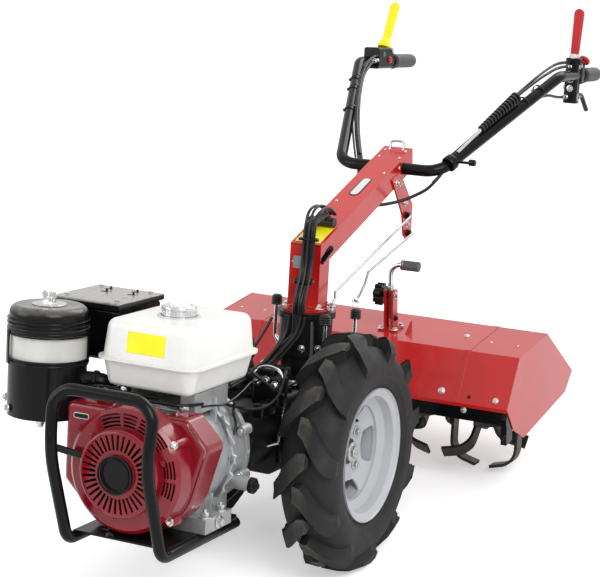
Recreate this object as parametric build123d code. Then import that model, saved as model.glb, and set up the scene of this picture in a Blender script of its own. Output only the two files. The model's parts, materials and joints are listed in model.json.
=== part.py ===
from build123d import *
import math
import os

# Two-wheel walking tractor with a front engine and a rear rotary tiller.
# Millimetres, +Z up, the engine towards -Y, the machine's left hand towards +X.
# The tractor is drawn level about its wheel axle and then leans back by nose_pitch.
# The tiller is drawn as it stands, with its heights measured from the floor.

os.makedirs("parts", exist_ok=True)

# ---------------------------------------------------------------- driving sizes
# stance and fits
nose_pitch = 8.5
running_gap = 0.05
face_gap = 0.3
clear_gap = 6.0
cut_over = 1.0
bend_share = 0.45

# wheels
wheel_radius = 250.0
wheel_centre_x = 190.0
tyre_half_width = 64.0
tyre_wall = 13.0
tyre_shoulder_inset = 6.0
tyre_shoulder_drop = 22.0
tyre_crown_inset = 26.0
tyre_crown_drop = 3.0
carcass_radius = 226.0
bead_radius = 127.0
flange_radius = 142.0
rim_half_width = 56.0
rim_wall = 3.0
rim_lip = 5.0
rim_seat = 4.0
rim_ledge = 28.0
rim_ledge_drop = 3.0
rim_well_inset = 38.0
rim_well_drop = 22.0
wheel_disc_inset = 62.0
wheel_disc_thick = 5.0
wheel_dish_start = 66.0
wheel_dish_rise = 16.0
wheel_window_count = 4
wheel_window_inner = 73.0
wheel_window_turn = 25.0
wheel_window_round = 9.0
wheel_bolt_pcd = 100.0
wheel_bolt_radius = 6.5
wheel_bolt_count = 4
lug_count = 11
lug_width = 28.0
lug_sweep = 92.0
lug_shoulder = 8.0
lug_root = 26.0
lug_overlap = 3.0
lug_spread = 1.25
lug_side_step = 14.0
lug_side_slope = 9.0
hub_radius = 27.0
hub_nose = 4.0
hub_flange_rim = 14.0
hub_flange_thick = 8.0
axle_radius = 15.0
axle_cap_rim = 6.0
axle_cap_thick = 5.7

# gearbox and turntable
casing_half_width = 70.0
casing_front = -105.0
casing_rear = 250.0
casing_bottom = -50.0
casing_top = 115.0
casing_round = 18.0
casing_lid_inset = 12.0
casing_lid_thick = 7.0
axle_tube_radius = 36.0
axle_tube_end = 122.0
axle_flange_rim = 12.0
axle_flange_thick = 12.0
swivel_y = 154.0
turntable_radius = 58.0
turntable_rim = 6.0
turntable_rim_thick = 14.0
turntable_bottom = 160.0
turntable_top = 258.0
boss_radius = 52.0
boss_sink = 20.0
swivel_pin_radius = 12.0
swivel_pin_top = 300.0

# engine
crank_height = 55.0
engine_foot = -73.0
foot_thick = 28.0
foot_half_width = 118.0
foot_rear = -384.0
case_radius = 108.0
block_front = -486.0
block_rear = -330.0
block_top = 150.0
base_half_width = 78.0
pto_cover_radius = 118.0
pto_cover_rear = -318.0
pto_boss_count = 8
pto_boss_radius = 10.0
oil_cap_radius = 14.0
oil_cap_reach = 140.0
oil_cap_y = -352.0
head_length = 100.0
head_bottom = 50.0
head_top = 138.0
head_cover_thick = 14.0
head_front = -430.0
fin_count = 8
fin_thick = 3.5
fin_depth = 12.0

# fan cover and recoil starter
fan_cover_front = -598.0
fan_shoulder_y = -552.0
fan_cover_wall = 3.0
fan_cover_round = 12.0
fan_corner_round = 16.0
fan_scallop_drop = 10.0
fan_scallop_depth = 14.0
fan_round = 128.0
fan_left = -160.0
fan_top = 160.0
fan_top_right = 100.0
fan_bulge_x = 149.0
fan_bulge_z = 110.0
fan_low_x = -84.0
fan_low_z = -69.0
fan_step_z = 6.0
drum_radius = 119.0
drum_lip = 8.0
drum_flare = 3.0
arc_slot_inner = 88.5
arc_slot_step = 7.0
arc_slot_width = 4.0
arc_slot_rows = 4
arc_slot_spans = ((-20.0, -2.0), (2.0, 20.0), (34.0, 50.0), (54.0, 72.0), (76.0, 92.0), (96.0, 120.0))
recoil_front = -621.0
recoil_radius = 84.0
recoil_round = 8.0
recoil_wall = 3.0
recoil_mouth = 76.0
recoil_slot_count = 36
recoil_slot_width = 5.0
recoil_slot_inner = 46.0
recoil_slot_outer = 75.0
badge_radius = 35.0
badge_thick = 2.5
fan_disc_radius = 104.0
fan_disc_thick = 6.0
fan_disc_gap = 8.0
fan_hub_radius = 26.0
handle_reach = 70.0
handle_height = 75.0
handle_rise = 8.0
handle_stem_radius = 7.0
handle_grip_radius = 9.0
handle_grip_length = 38.0

# fuel tank
tank_left = -124.0
tank_right = 102.0
tank_front = -527.0
tank_rear = -246.0
tank_seam = 245.0
tank_top = 320.0
tank_bottom = 190.0
tank_inset = 9.0
tank_round = 38.0
tank_top_taper = 7.0
tank_top_round = 19.0
tank_floor_taper = 14.0
tank_floor_round = 12.0
tank_seam_thick = 5.0
tank_wall = 2.5
cap_x = -8.0
cap_y = -400.0
cap_radius = 34.0
cap_height = 22.0
cap_round = 5.0
cap_neck_step = 8.0
bracket_half_width = 16.0
tank_bracket_x = (-70.0, 60.0)

# air cleaner
cleaner_x = -230.6
cleaner_y = -512.0
cleaner_radius = 79.0
cleaner_bottom = 116.0
cleaner_band_bottom = 227.0
cleaner_band_top = 279.0
cleaner_top = 330.0
cleaner_wall = 2.5
cleaner_step = 3.0
cleaner_lip = 10.0
cleaner_cap_round = 16.0
wing_nut_reach = 14.0
wing_nut_washer = 28.0
intake_radius = 15.0
intake_z = 148.0
carburettor_x = -133.0
carburettor_y = -448.0
carburettor_half_width = 19.0
carburettor_bottom = 96.0
carburettor_top = 168.0
carburettor_depth = 40.0

# muffler
muffler_left = -276.0
muffler_right = -130.0
muffler_front = -421.0
muffler_rear = -263.0
muffler_bottom = 213.0
muffler_top = 320.0
muffler_wall = 2.0
muffler_round = 14.0
shield_thick = 2.0
shield_gap = 9.0
shield_lip = 12.0
shield_margin = 8.0
shield_round = 5.0
shield_foot_width = 16.0
exhaust_radius = 15.0

# front guard
guard_radius = 11.5
guard_half_width = 102.0
guard_shoulder_x = 108.0
guard_rail_z = -87.0
guard_rail_rear = -335.0
guard_corner_y = -622.0
guard_knee_y = -688.0
guard_knee_z = 95.0
guard_top_y = -676.0
guard_top_z = 216.0
guard_corner_bend = 34.0
guard_knee_bend = 190.0
guard_top_bend = 44.0
base_plate_thick = 4.0
base_plate_front = -600.0
base_plate_rear = -330.0

# clutch housing
clutch_drop = 20.0
clutch_front_radius = 96.0
clutch_rear_radius = 72.0
clutch_flange_radius = 114.0
clutch_flange_thick = 12.0
clutch_mid = -235.0
clutch_slope = 30.0

# steering column
column_half_width = 37.0
column_wall = 3.0
column_front = 130.0
column_rear = 178.0
column_elbow_z = 406.0
beam_slope = 20.8
beam_depth = 50.0
beam_head_y = 615.0
beam_head_lean = 8.0
column_flange_radius = 52.0
column_flange_thick = 8.0
column_bush_radius = 18.0
hanger_thick = 4.0
hanger_outline = (
    # y, z
    (495.0, 522.0),
    (540.0, 538.0),
    (628.0, 455.0),
    (630.0, 386.0),
    (607.0, 368.0),
    (583.0, 385.0),
    (569.0, 434.0),
)
gear_rod_radius = 3.0
gear_rod_bend = 7.0
gear_rod_step = 14.0
gear_rod_pins = (
    # y, z
    (590.0, 432.0),
    (604.0, 388.0),
)
gear_rod_routes = (
    # x, y, z down to each gear lever
    ((56.0, 176.0, 301.0), (62.0, 165.0, 289.0), (60.0, 154.0, 272.0)),
    ((60.0, 342.0, 326.0), (64.0, 318.0, 303.0), (62.0, 298.0, 280.0), (58.0, 284.0, 266.0)),
)
cable_loop_radius = 3.0
cable_loop_half_width = 17.0
cable_loop_height = 20.0
cable_loop_lean = 8.0
swivel_lever_foot = (37.0, 142.0, 366.0)
swivel_lever_bend = (49.0, 120.0, 378.0)
swivel_lever_tip = (76.0, 97.0, 408.0)

# gear levers
gear_lever_radius = 5.0
gear_lever_rise = 32.0
boot_radius = 13.0
boot_half_height = 11.0
gear_lever_places = (
    # x and y of the foot on the casing, then x, y and height of the boot
    (-62.0, 190.0, -100.0, 206.0, 262.0),
    (62.0, 86.0, 80.0, 80.0, 256.0),
    (58.0, 236.0, 62.0, 281.0, 239.0),
)

# control looms
loom_radius = 5.5
loom_bend = 22.0
loom_x = 16.0
loom_low_y = 72.0
loom_route = (
    # y, z from the turntable up the column's front
    (72.0, 284.0),
    (112.0, 350.0),
    (112.0, 452.0),
    (184.0, 470.0),
)
lower_loom_radius = 9.0
lower_loom_x = -50.0
lower_loom_y = 30.0
lower_loom_end = -95.0
lower_loom_turn_z = 214.0
sleeve_y = 208.0
sleeve_radius = 11.0
sleeve_half_length = 30.0
drop_cable_radius = 4.0
drop_routes = (
    # x, y, z of the cable from the left-hand arm, then of the one from the right-hand arm
    ((124.0, 568.0, 529.0), (104.0, 556.0, 502.0), (58.0, 536.0, 474.0), (4.0, 498.0, 458.0), (-44.0,
        440.0, 464.0)),
    ((-92.0, 596.0, 532.0), (-86.0, 584.0, 504.0), (-66.0, 560.0, 484.0), (-44.0, 500.0, 486.0)),
)
drop_low_y = 320.0
drop_turn_y = 248.0

# handlebar
bar_radius = 14.0
bar_wall = 3.0
bar_cross_y = 566.0
bar_lower_x = 128.0
bar_upper_x = 273.0
bar_upper_y = 967.0
bar_upper_z = 770.0
bar_end_x = 265.0
bar_end_y = 1286.0
bar_bend = 55.0
grip_radius = 18.0
grip_length = 118.0
grip_cap = 5.0
switch_box_half = 22.0
switch_box_front = 1024.0
switch_box_rear = 1118.0
switch_box_low = 753.0
switch_box_top = 808.0
throttle_box_half = 17.0
throttle_box_front = 1086.0
throttle_box_rear = 1118.0
throttle_box_low = 700.0
throttle_box_top = 812.0
control_round = 6.0
throttle_lever_radius = 6.0
throttle_lever_bend = 18.0
throttle_lever = (
    # y, z
    (1110.0, 716.0),
    (1186.0, 718.0),
    (1240.0, 678.0),
)
lever_thick = 12.0
lever_foot_radius = 10.0
lever_tip_radius = 12.5
lever_round = 3.0
yellow_lever_foot = (-268.0, 1108.0, 800.0)
yellow_lever_tip = (-268.0, 1173.0, 926.0)
red_lever_foot = (265.0, 1102.0, 804.0)
red_lever_tip = (265.0, 1118.0, 939.0)
bellows_rib_count = 14
bellows_low_radius = 9.0
bellows_high_radius = 14.0
bellows_rib_depth = 3.0
bellows_low = (177.0, 690.0, 643.0)
bellows_high = (219.0, 815.0, 722.0)
shift_rod_foot = (146.0, 612.0, 586.0)
bar_cable_radius = 3.5
bar_cable_spacing = 8.0
upper_cable_route = (
    # x, y, z from the bellows up to the throttle box
    (240.0, 900.0, 762.0),
    (256.0, 985.0, 789.0),
    (262.0, 1040.0, 794.0),
    (262.0, 1088.0, 792.0),
)
lower_cable_route = (
    # x, y, z from the throttle box down to the bellows
    (258.0, 1088.0, 716.0),
    (254.0, 1020.0, 716.0),
    (248.0, 960.0, 724.0),
    (238.0, 900.0, 714.0),
    (226.0, 852.0, 690.0),
)
switch_cable_route = (
    # x, y, z from the switch box down the arm
    (-256.0, 1026.0, 776.0),
    (-252.0, 980.0, 771.0),
    (-238.0, 900.0, 742.0),
    (-204.0, 806.0, 690.0),
    (-150.0, 690.0, 616.0),
    (-94.0, 600.0, 545.0),
)

# tiller, heights from the floor
hood_half_width = 394.0
hood_joint_x = 262.0
hood_sheet = 2.5
hood_front_y = 481.0
hood_rear_y = 674.0
hood_top_z = 333.0
hood_low_z = 232.0
hood_lip = 8.0
hood_tail_y = 878.0
hood_tail_z = 174.0
cheek_tail_y = 826.0
cheek_tail_z = 135.0
cheek_foot_y = 522.0
cheek_foot_z = 124.0
cheek_foot_length = 24.0
cheek_rise_run = 70.0
cheek_rise = 44.0
rotor_y = 595.0
rotor_z = 162.0
rotor_radius = 150.0
rotor_shaft_radius = 21.0
rotor_end_gap = 22.0
tine_rows = 4
tines_per_flange = 4
tine_row_turn = 45.0
tine_first_turn = 37.0
tine_flange_radius = 58.0
tine_flange_thick = 6.0
tine_thick = 7.0
tine_width = 34.0
tine_root = 30.0
tine_bend = 45.0
tine_turn = 75.0
tine_foot = 30.0
beam_front_y = 408.0
beam_back_y = 438.0
beam_low_z = 192.0
beam_end_width = 14.0
beam_end_drop = 48.0
beam_end_front = 4.0
beam_end_rear = 12.0
chain_case_half = 24.0
chain_case_radius = 46.0
chain_case_front_rise = 55.0
chain_case_rise = 69.0
drive_case_half = 36.0
drive_tube_radius = 32.0
drive_nose_length = 54.0
coupling_radius = 62.0
coupling_thick = 26.0
coupling_nose_radius = 40.0
coupling_nose = 44.0
depth_y = 556.0
depth_bracket_left = 30.0
depth_bracket_right = 54.0
depth_bracket_top = 428.0
depth_bracket_half = 14.0
depth_bracket_sheet = 4.0
depth_foot_reach = 10.0
depth_rod_radius = 6.0
depth_rod_bend = 27.0
depth_rod_top = 494.0
depth_rod_reach = 34.0
depth_grip_radius = 12.0
depth_grip_length = 38.0
knob_z = 416.0
knob_thick = 18.0
knob_radius = 27.0
knob_lobes = 8
knob_notch = 6.0
gusset_x = 92.0
gusset_y = 526.0
gusset_length = 34.0
gusset_height = 24.0
skid_half_width = 13.0
skid_y = 800.0
skid_outline = (
    # y from skid_y, height
    (-60.0, 118.0),
    (-16.0, 16.0),
    (34.0, 34.0),
    (40.0, 24.0),
    (10.0, 0.0),
    (-30.0, 0.0),
    (-84.0, 96.0),
)
skid_sole = 24.0
skid_seat = 8.0

machine = {}
tiller = {}


# ---------------------------------------------------------------- helpers
def block(x0, x1, y0, y1, z0, z1):
    """A box between two corners."""
    return Pos(x0, y0, z0) * Box(x1 - x0, y1 - y0, z1 - z0, align=(Align.MIN, Align.MIN, Align.MIN))


def rod(radius, start, end):
    """A round bar between two points."""
    run = Vector(*end) - Vector(*start)
    foot = Plane(origin=start, z_dir=run)
    return foot * Cylinder(radius, run.length, align=(Align.CENTER, Align.CENTER, Align.MIN))


def side_plate(outline, x0, x1):
    """A plate with an outline of (y, z) points, from x0 to x1."""
    ring = Polyline(*[(x0, y, z) for y, z in outline], close=True)
    return extrude(make_face(ring), amount=x1 - x0, dir=(1, 0, 0))


def front_plate(outline, y0, y1):
    """A plate with an outline of (x, z) points, from y0 to y1."""
    ring = Polyline(*[(x, y0, z) for x, z in outline], close=True)
    return extrude(make_face(ring), amount=y1 - y0, dir=(0, 1, 0))


def floor_plate(outline, z0, z1):
    """A plate with an outline of (x, y) points, from z0 to z1."""
    ring = Polyline(*[(x, y, z0) for x, y in outline], close=True)
    return extrude(make_face(ring), amount=z1 - z0)


def upright(sketch, y0, y1):
    """A sketch drawn in (x, z), made into a plate from y0 to y1."""
    face = Plane(origin=(0, y0, 0), x_dir=(1, 0, 0), z_dir=(0, -1, 0)) * sketch
    return extrude(face, amount=y1 - y0, dir=(0, 1, 0))


def bent_rod(points, bend, radius, inner=0.0):
    """A round bar or tube along straight runs joined by arcs."""
    path = FilletPolyline(*points, radius=bend)
    ends = Plane(origin=path @ 0, z_dir=path % 0)
    outer = sweep(ends * Circle(radius), path=path)
    if inner > 0.0:
        return outer - sweep(ends * Circle(inner), path=path)
    return outer


def cable(points, radius):
    """A round cable along runs joined by arcs as large as the runs allow."""
    spots = [Vector(*point) for point in points]
    bends = []
    for before, here, after in zip(spots, spots[1:], spots[2:]):
        turn = math.radians((here - before).get_angle(after - here))
        shorter = min((here - before).length, (after - here).length)
        bends.append(bend_share * shorter / math.tan(turn / 2))
    return bent_rod(points, bends, radius)


def around_crank(radius, degrees):
    """A point (x, z) on a circle round the crankshaft, from the machine's left hand."""
    turn = math.radians(degrees)
    return radius * math.cos(turn), crank_height + radius * math.sin(turn)


def crank_disc(radius, y0, y1):
    """A round plate on the crankshaft's line."""
    return rod(radius, (0, y0, crank_height), (0, y1, crank_height))


def park(solid):
    """Lean a machine piece back onto the skid and lift it to the axle's height."""
    return Pos(0, 0, wheel_radius) * Rot(X=-nose_pitch) * solid


# ---------------------------------------------------------------- wheels
wheel_disc_x = rim_half_width - wheel_disc_inset
well_radius = bead_radius - rim_well_drop
hub_end = wheel_disc_x + wheel_disc_thick / 2 + hub_nose
axle_line = Rot(0, 90, 0)


def wheel_spin(profile):
    """Turn an (x, radius) outline about the wheel axle."""
    ring = Polyline(*[(x, 0, r) for x, r in profile], close=True)
    return revolve(make_face(ring), axis=Axis.X)


def tyre():
    """The carcass with its chevron lugs, centred on x = 0."""
    bead_x = rim_half_width - rim_lip - rim_seat - face_gap
    side_radius = (flange_radius + carcass_radius) / 2
    half = [
        (bead_x, bead_radius + face_gap),
        (bead_x + rim_seat, flange_radius + 1.0),
        (tyre_half_width, side_radius),
        (tyre_half_width - tyre_shoulder_inset, carcass_radius - tyre_shoulder_drop),
        (tyre_half_width - tyre_crown_inset, carcass_radius - tyre_crown_drop),
    ]
    inside = [
        (bead_x - tyre_wall, bead_radius + face_gap),
        (tyre_half_width - tyre_wall, side_radius),
        (tyre_half_width - tyre_crown_inset - tyre_shoulder_inset,
         carcass_radius - tyre_crown_drop - tyre_wall),
    ]
    left = [(-x, r) for x, r in reversed(half)]
    hollow = [(-x, r) for x, r in inside] + [(x, r) for x, r in reversed(inside)]
    carcass = wheel_spin(half + left + hollow)
    shoulder = tyre_half_width - lug_shoulder
    foot = carcass_radius - lug_root
    middle = (lug_sweep + lug_width) / 2
    bar_outline = [
        (-lug_overlap, -middle),
        (shoulder, lug_sweep - middle),
        (shoulder, lug_sweep + lug_spread * lug_width - middle),
        (-lug_overlap, lug_width - middle),
    ]
    side_cut = [
        (shoulder - lug_side_step, wheel_radius),
        (shoulder + lug_side_slope, wheel_radius),
        (shoulder + lug_side_slope, foot),
        (shoulder, foot),
    ]
    crown = axle_line * Cylinder(wheel_radius, 2 * tyre_half_width)
    lug = (floor_plate(bar_outline, foot, wheel_radius) & crown) - front_plate(side_cut, -lug_sweep,
        2 * lug_sweep)
    step = 360.0 / lug_count
    lugs = []
    for k in range(lug_count):
        lugs.append(Rot(X=k * step) * lug)
        lugs.append(Rot(X=(k + 0.5) * step) * lug.mirror(Plane.YZ))
    return carcass.fuse(*lugs)


def bolt_holes(plate_x):
    """Cutters for the wheel bolts through a plate at plate_x."""
    step = 360.0 / wheel_bolt_count
    holes = []
    for k in range(wheel_bolt_count):
        spot = Rot(X=(k + 0.5) * step) * Pos(plate_x, 0, wheel_bolt_pcd / 2)
        holes.append(spot * axle_line * Cylinder(wheel_bolt_radius, 3 * hub_flange_thick))
    return holes


def disc_window():
    """The cutter for one window between the lobes of the wheel disc, at the top."""
    outer = well_radius - rim_wall - cut_over
    turn = math.radians(wheel_window_turn)
    side, lift = math.sin(turn), math.cos(turn)
    edges = [
        Line((-side * wheel_window_inner, lift * wheel_window_inner), (-side * outer, lift * outer)),
        ThreePointArc((-side * outer, lift * outer), (0, outer), (side * outer, lift * outer)),
        Line((side * outer, lift * outer), (side * wheel_window_inner, lift * wheel_window_inner)),
        Line((side * wheel_window_inner, lift * wheel_window_inner),
             (-side * wheel_window_inner, lift * wheel_window_inner)),
    ]
    window = make_face(edges)
    window = fillet(window.vertices(), wheel_window_round)
    flat = Plane(origin=(wheel_disc_x - wheel_disc_thick, 0, 0), x_dir=(0, 1, 0), z_dir=(1, 0, 0))
    return extrude(flat * window, amount=wheel_dish_rise + 3 * wheel_disc_thick)


def rim():
    """The drop-centre rim with its windowed disc, centred on x = 0."""
    edge = rim_half_width
    outer = [
        (edge, flange_radius),
        (edge - rim_lip, flange_radius),
        (edge - rim_lip - rim_seat, bead_radius),
        (edge - rim_ledge, bead_radius - rim_ledge_drop),
        (edge - rim_well_inset, well_radius),
    ]
    profile = outer + [(-x, r) for x, r in reversed(outer)]
    profile += [(-x, r - rim_wall) for x, r in outer[1:]]
    profile += [(x, r - rim_wall) for x, r in reversed(outer[1:])]
    inner = wheel_disc_x - wheel_disc_thick / 2
    outer = wheel_disc_x + wheel_disc_thick / 2
    dish = [
        (inner, 0.0),
        (inner, wheel_dish_start),
        (inner + wheel_dish_rise, well_radius - rim_wall),
        (outer + wheel_dish_rise, well_radius - rim_wall),
        (outer, wheel_dish_start),
        (outer, 0.0),
    ]
    disc = wheel_spin(dish)
    windows = [Rot(X=k * 360.0 / wheel_window_count) * disc_window() for k in range(wheel_window_count)]
    centre = Pos(wheel_disc_x, 0, 0) * axle_line * Cylinder(hub_radius, 2 * wheel_disc_thick)
    return wheel_spin(profile) + disc.cut(centre, *windows, *bolt_holes(wheel_disc_x))


def hub():
    """The hub sleeve and its flange behind the wheel disc, bored for the axle, centred on x = 0."""
    flange_x = wheel_disc_x - wheel_disc_thick / 2 - hub_flange_thick / 2
    inner_end = axle_tube_end + face_gap - wheel_centre_x
    flange = Cylinder(wheel_bolt_pcd / 2 + hub_flange_rim, hub_flange_thick)
    flange = (Pos(flange_x, 0, 0) * axle_line * flange).cut(*bolt_holes(flange_x))
    sleeve = rod(hub_radius, (inner_end, 0, 0), (hub_end, 0, 0))
    bore = rod(axle_radius + running_gap, (inner_end - cut_over, 0, 0), (hub_end + cut_over, 0, 0))
    return flange + sleeve - bore


for name, solid in (("tyre", tyre()), ("rim", rim()), ("hub", hub())):
    wheel_piece = Pos(wheel_centre_x, 0, 0) * solid
    machine[f"{name}_left"] = wheel_piece
    machine[f"{name}_right"] = wheel_piece.mirror(Plane.YZ)

# ---------------------------------------------------------------- gearbox and turntable
casing = block(-casing_half_width, casing_half_width, casing_front, casing_rear, casing_bottom, casing_top)
casing = fillet(casing.edges().filter_by(Axis.Y), casing_round)
lid_half = casing_half_width - casing_round
casing += block(-lid_half, lid_half, casing_front + casing_lid_inset, swivel_y - turntable_radius,
                casing_top, casing_top + casing_lid_thick)
casing += rod(boss_radius, (0, swivel_y, casing_top - boss_sink), (0, swivel_y, turntable_bottom))
casing += rod(axle_tube_radius, (-axle_tube_end, 0, 0), (axle_tube_end, 0, 0))
for flange_start in (-axle_tube_end, axle_tube_end - axle_flange_thick):
    casing += rod(axle_tube_radius + axle_flange_rim, (flange_start, 0, 0),
                  (flange_start + axle_flange_thick, 0, 0))
machine["gear_casing"] = casing

cap_start = wheel_centre_x + hub_end + face_gap
cap_end = cap_start + axle_cap_thick
machine["axle_shafts"] = Compound([
    rod(axle_radius, (sign * axle_tube_end, 0, 0), (sign * cap_end, 0, 0))
    + rod(axle_radius + axle_cap_rim, (sign * cap_start, 0, 0), (sign * cap_end, 0, 0))
    for sign in (-1, 1)
])

rim_bottom = turntable_top - turntable_rim_thick
turntable = rod(turntable_radius, (0, swivel_y, turntable_bottom), (0, swivel_y, rim_bottom))
turntable += rod(turntable_radius + turntable_rim, (0, swivel_y, rim_bottom), (0, swivel_y, turntable_top))
turntable += rod(swivel_pin_radius, (0, swivel_y, turntable_top), (0, swivel_y, swivel_pin_top))
machine["turntable"] = turntable

# ---------------------------------------------------------------- clutch housing
clutch_profile = [
    (casing_front, 0.0),
    (casing_front, clutch_rear_radius),
    (clutch_mid, clutch_rear_radius),
    (clutch_mid - clutch_slope, clutch_front_radius),
    (pto_cover_rear + clutch_flange_thick, clutch_front_radius),
    (pto_cover_rear + clutch_flange_thick, clutch_flange_radius),
    (pto_cover_rear, clutch_flange_radius),
    (pto_cover_rear, 0.0),
]
clutch_ring = Polyline(*[(0, y, r) for y, r in clutch_profile], close=True)
machine["clutch_housing"] = Pos(0, 0, crank_height - clutch_drop) * revolve(make_face(clutch_ring),
    axis=Axis.Y)


# ---------------------------------------------------------------- engine block
def crankcase():
    """The barrel crankcase on its feet, with the bolted cover on its drive side."""
    body = crank_disc(case_radius, block_front, block_rear)
    body += block(-base_half_width, base_half_width, block_front, block_rear, engine_foot, crank_height)
    body += block(-case_radius, case_radius / 2, block_front, block_rear, crank_height, block_top)
    body += block(-foot_half_width, foot_half_width, block_front, foot_rear, engine_foot,
                  engine_foot + foot_thick)
    cover = crank_disc(pto_cover_radius, block_rear, pto_cover_rear)
    for k in range(pto_boss_count):
        x, z = around_crank(pto_cover_radius, (k + 0.5) * 360.0 / pto_boss_count)
        if z > engine_foot + pto_boss_radius:
            cover += rod(pto_boss_radius, (x, block_rear - head_cover_thick, z), (x, pto_cover_rear, z))
    filler = rod(oil_cap_radius, (base_half_width, oil_cap_y, 0), (oil_cap_reach, oil_cap_y, 0))
    return body + cover + filler


machine["crankcase"] = crankcase()


def cylinder_head():
    """The finned cylinder and its head cover, towards the machine's right hand."""
    inner = -case_radius
    front = head_front
    rear = block_rear - head_cover_thick
    core = block(inner - head_length, inner, front + fin_depth, rear - fin_depth,
                 head_bottom + fin_depth, head_top - fin_depth)
    for k in range(fin_count):
        x = inner - k * head_length / fin_count
        core += block(x - fin_thick, x, front, rear, head_bottom, head_top)
    head_end = inner - head_length
    return core + block(head_end - head_cover_thick, head_end, front, rear, head_bottom, head_top)


machine["cylinder_head"] = cylinder_head()


# ---------------------------------------------------------------- fan cover and recoil starter
def touch_angle(point, side):
    """The angle, round the crankshaft, at which a line from an (x, z) point touches the fan's round."""
    x, z = point
    rise = z - crank_height
    return math.degrees(math.atan2(rise, x) + side * math.acos(fan_round / math.hypot(x, rise)))


def fan_sketch():
    """The fan cover's outline in (x, z): straight at the top and left, round the fan at the bottom."""
    bulge = (fan_bulge_x, fan_bulge_z)
    low_left = (fan_low_x, fan_low_z)
    start = touch_angle(bulge, -1)
    end = touch_angle(low_left, 1)
    corners = [low_left, (fan_left, fan_step_z), (fan_left, fan_top), (fan_top_right, fan_top), bulge]
    ends = [around_crank(fan_round, start), around_crank(fan_round, (start + end) / 2),
            around_crank(fan_round, end)]
    face = make_face([ThreePointArc(*ends), Polyline(ends[2], *corners, ends[0])])
    on_round = [spot for spot in face.vertices()
                if abs(math.hypot(spot.X, spot.Y - crank_height) - fan_round) < 1.0]
    return fillet([spot for spot in face.vertices() if spot not in on_round], fan_corner_round)


def drum(radius, front, rear, mouth):
    """The round drum in front of the fan, with a chamfered lip and an open mouth."""
    profile = [
        (front, mouth),
        (front, radius - drum_lip),
        (front + drum_lip, radius),
        (fan_shoulder_y - drum_lip, radius + drum_flare),
        (rear, radius + drum_flare),
        (rear, mouth),
    ]
    ring = Polyline(*[(0, y, r) for y, r in profile], close=True)
    return Pos(0, 0, crank_height) * revolve(make_face(ring), axis=Axis.Y)


def arc_slots():
    """Cutters for the curved slots of the drum's face, in rows round the recoil."""
    front = fan_cover_front - cut_over
    rear = fan_cover_front + fan_cover_wall + cut_over
    rows = []
    for k in range(arc_slot_rows):
        radius = arc_slot_inner + k * arc_slot_step
        rows.append(crank_disc(radius + arc_slot_width / 2, front, rear)
                    - crank_disc(radius - arc_slot_width / 2, front, rear))
    far = 2 * drum_radius
    cutters = []
    for start, end in arc_slot_spans:
        wedge = front_plate([(0, crank_height), around_crank(far, start), around_crank(far, end)], front,
                            rear)
        cutters += [row & wedge for row in rows]
    return cutters


def fan_cover():
    """The pressed cover: a shell round the fan and a slotted drum in front of it."""
    outline = fan_sketch()
    shell = upright(outline, fan_shoulder_y, block_front)
    shell = fillet(shell.faces().sort_by(Axis.Y)[0].edges(), fan_cover_round)
    lining = offset(outline, amount=-fan_cover_wall)
    inside = upright(lining, fan_shoulder_y + fan_cover_wall, block_front + cut_over)
    inside += drum(drum_radius - fan_cover_wall, fan_cover_front + fan_cover_wall, block_front, 0.0)
    scallop_foot = (cleaner_x, cleaner_y, cleaner_bottom - fan_scallop_drop)
    scallop_head = (cleaner_x, cleaner_y, fan_top + cut_over)
    shell -= rod(cleaner_radius, scallop_foot, scallop_head)
    inside -= rod(cleaner_radius + fan_cover_wall, scallop_foot, scallop_head)
    inside -= block(fan_left, fan_left + fan_scallop_depth, fan_shoulder_y, block_front,
                    cleaner_bottom - fan_scallop_drop - fan_cover_wall, cleaner_bottom - fan_scallop_drop)
    cover = shell + drum(drum_radius, fan_cover_front, fan_shoulder_y + drum_lip, 0.0) - inside
    mouth = crank_disc(recoil_mouth, fan_cover_front - cut_over,
                       fan_cover_front + fan_cover_wall + cut_over)
    return cover.cut(mouth, *arc_slots())


machine["fan_cover"] = fan_cover()


def recoil_cover():
    """The recoil starter's cup, with a ring of radial slots in its face."""
    cup = crank_disc(recoil_radius, recoil_front, fan_cover_front)
    cup = fillet(cup.faces().sort_by(Axis.Y)[0].edges(), recoil_round)
    inside = crank_disc(recoil_radius - recoil_wall, recoil_front + recoil_wall, fan_cover_front + cut_over)
    inside = fillet(inside.faces().sort_by(Axis.Y)[0].edges(), recoil_round - recoil_wall / 2)
    slot_end = recoil_front + recoil_wall + cut_over
    slot = block(recoil_slot_inner, recoil_slot_outer, recoil_front - cut_over, slot_end,
                 -recoil_slot_width / 2, recoil_slot_width / 2)
    step = 360.0 / recoil_slot_count
    slots = [Pos(0, 0, crank_height) * Rot(Y=k * step) * slot for k in range(recoil_slot_count)]
    return cup.cut(inside, *slots)


machine["recoil_cover"] = recoil_cover()
machine["recoil_badge"] = crank_disc(badge_radius, recoil_front - badge_thick, recoil_front)
fan_y = fan_cover_front + fan_cover_wall + fan_disc_gap
machine["cooling_fan"] = (crank_disc(fan_disc_radius, fan_y, fan_y + fan_disc_thick)
                          + crank_disc(fan_hub_radius, fan_y, block_front))

handle_y = (recoil_front + fan_cover_front) / 2
handle_x = -recoil_radius - handle_reach
handle_z = handle_height + handle_rise
handle = rod(handle_stem_radius, (-recoil_radius + recoil_wall, handle_y, handle_height), (handle_x,
    handle_y, handle_z))
handle += rod(handle_grip_radius, (handle_x, handle_y, handle_z - handle_grip_length / 2),
              (handle_x, handle_y, handle_z + handle_grip_length / 2))
machine["starter_handle"] = handle - crank_disc(recoil_radius, recoil_front, fan_cover_front)


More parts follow.
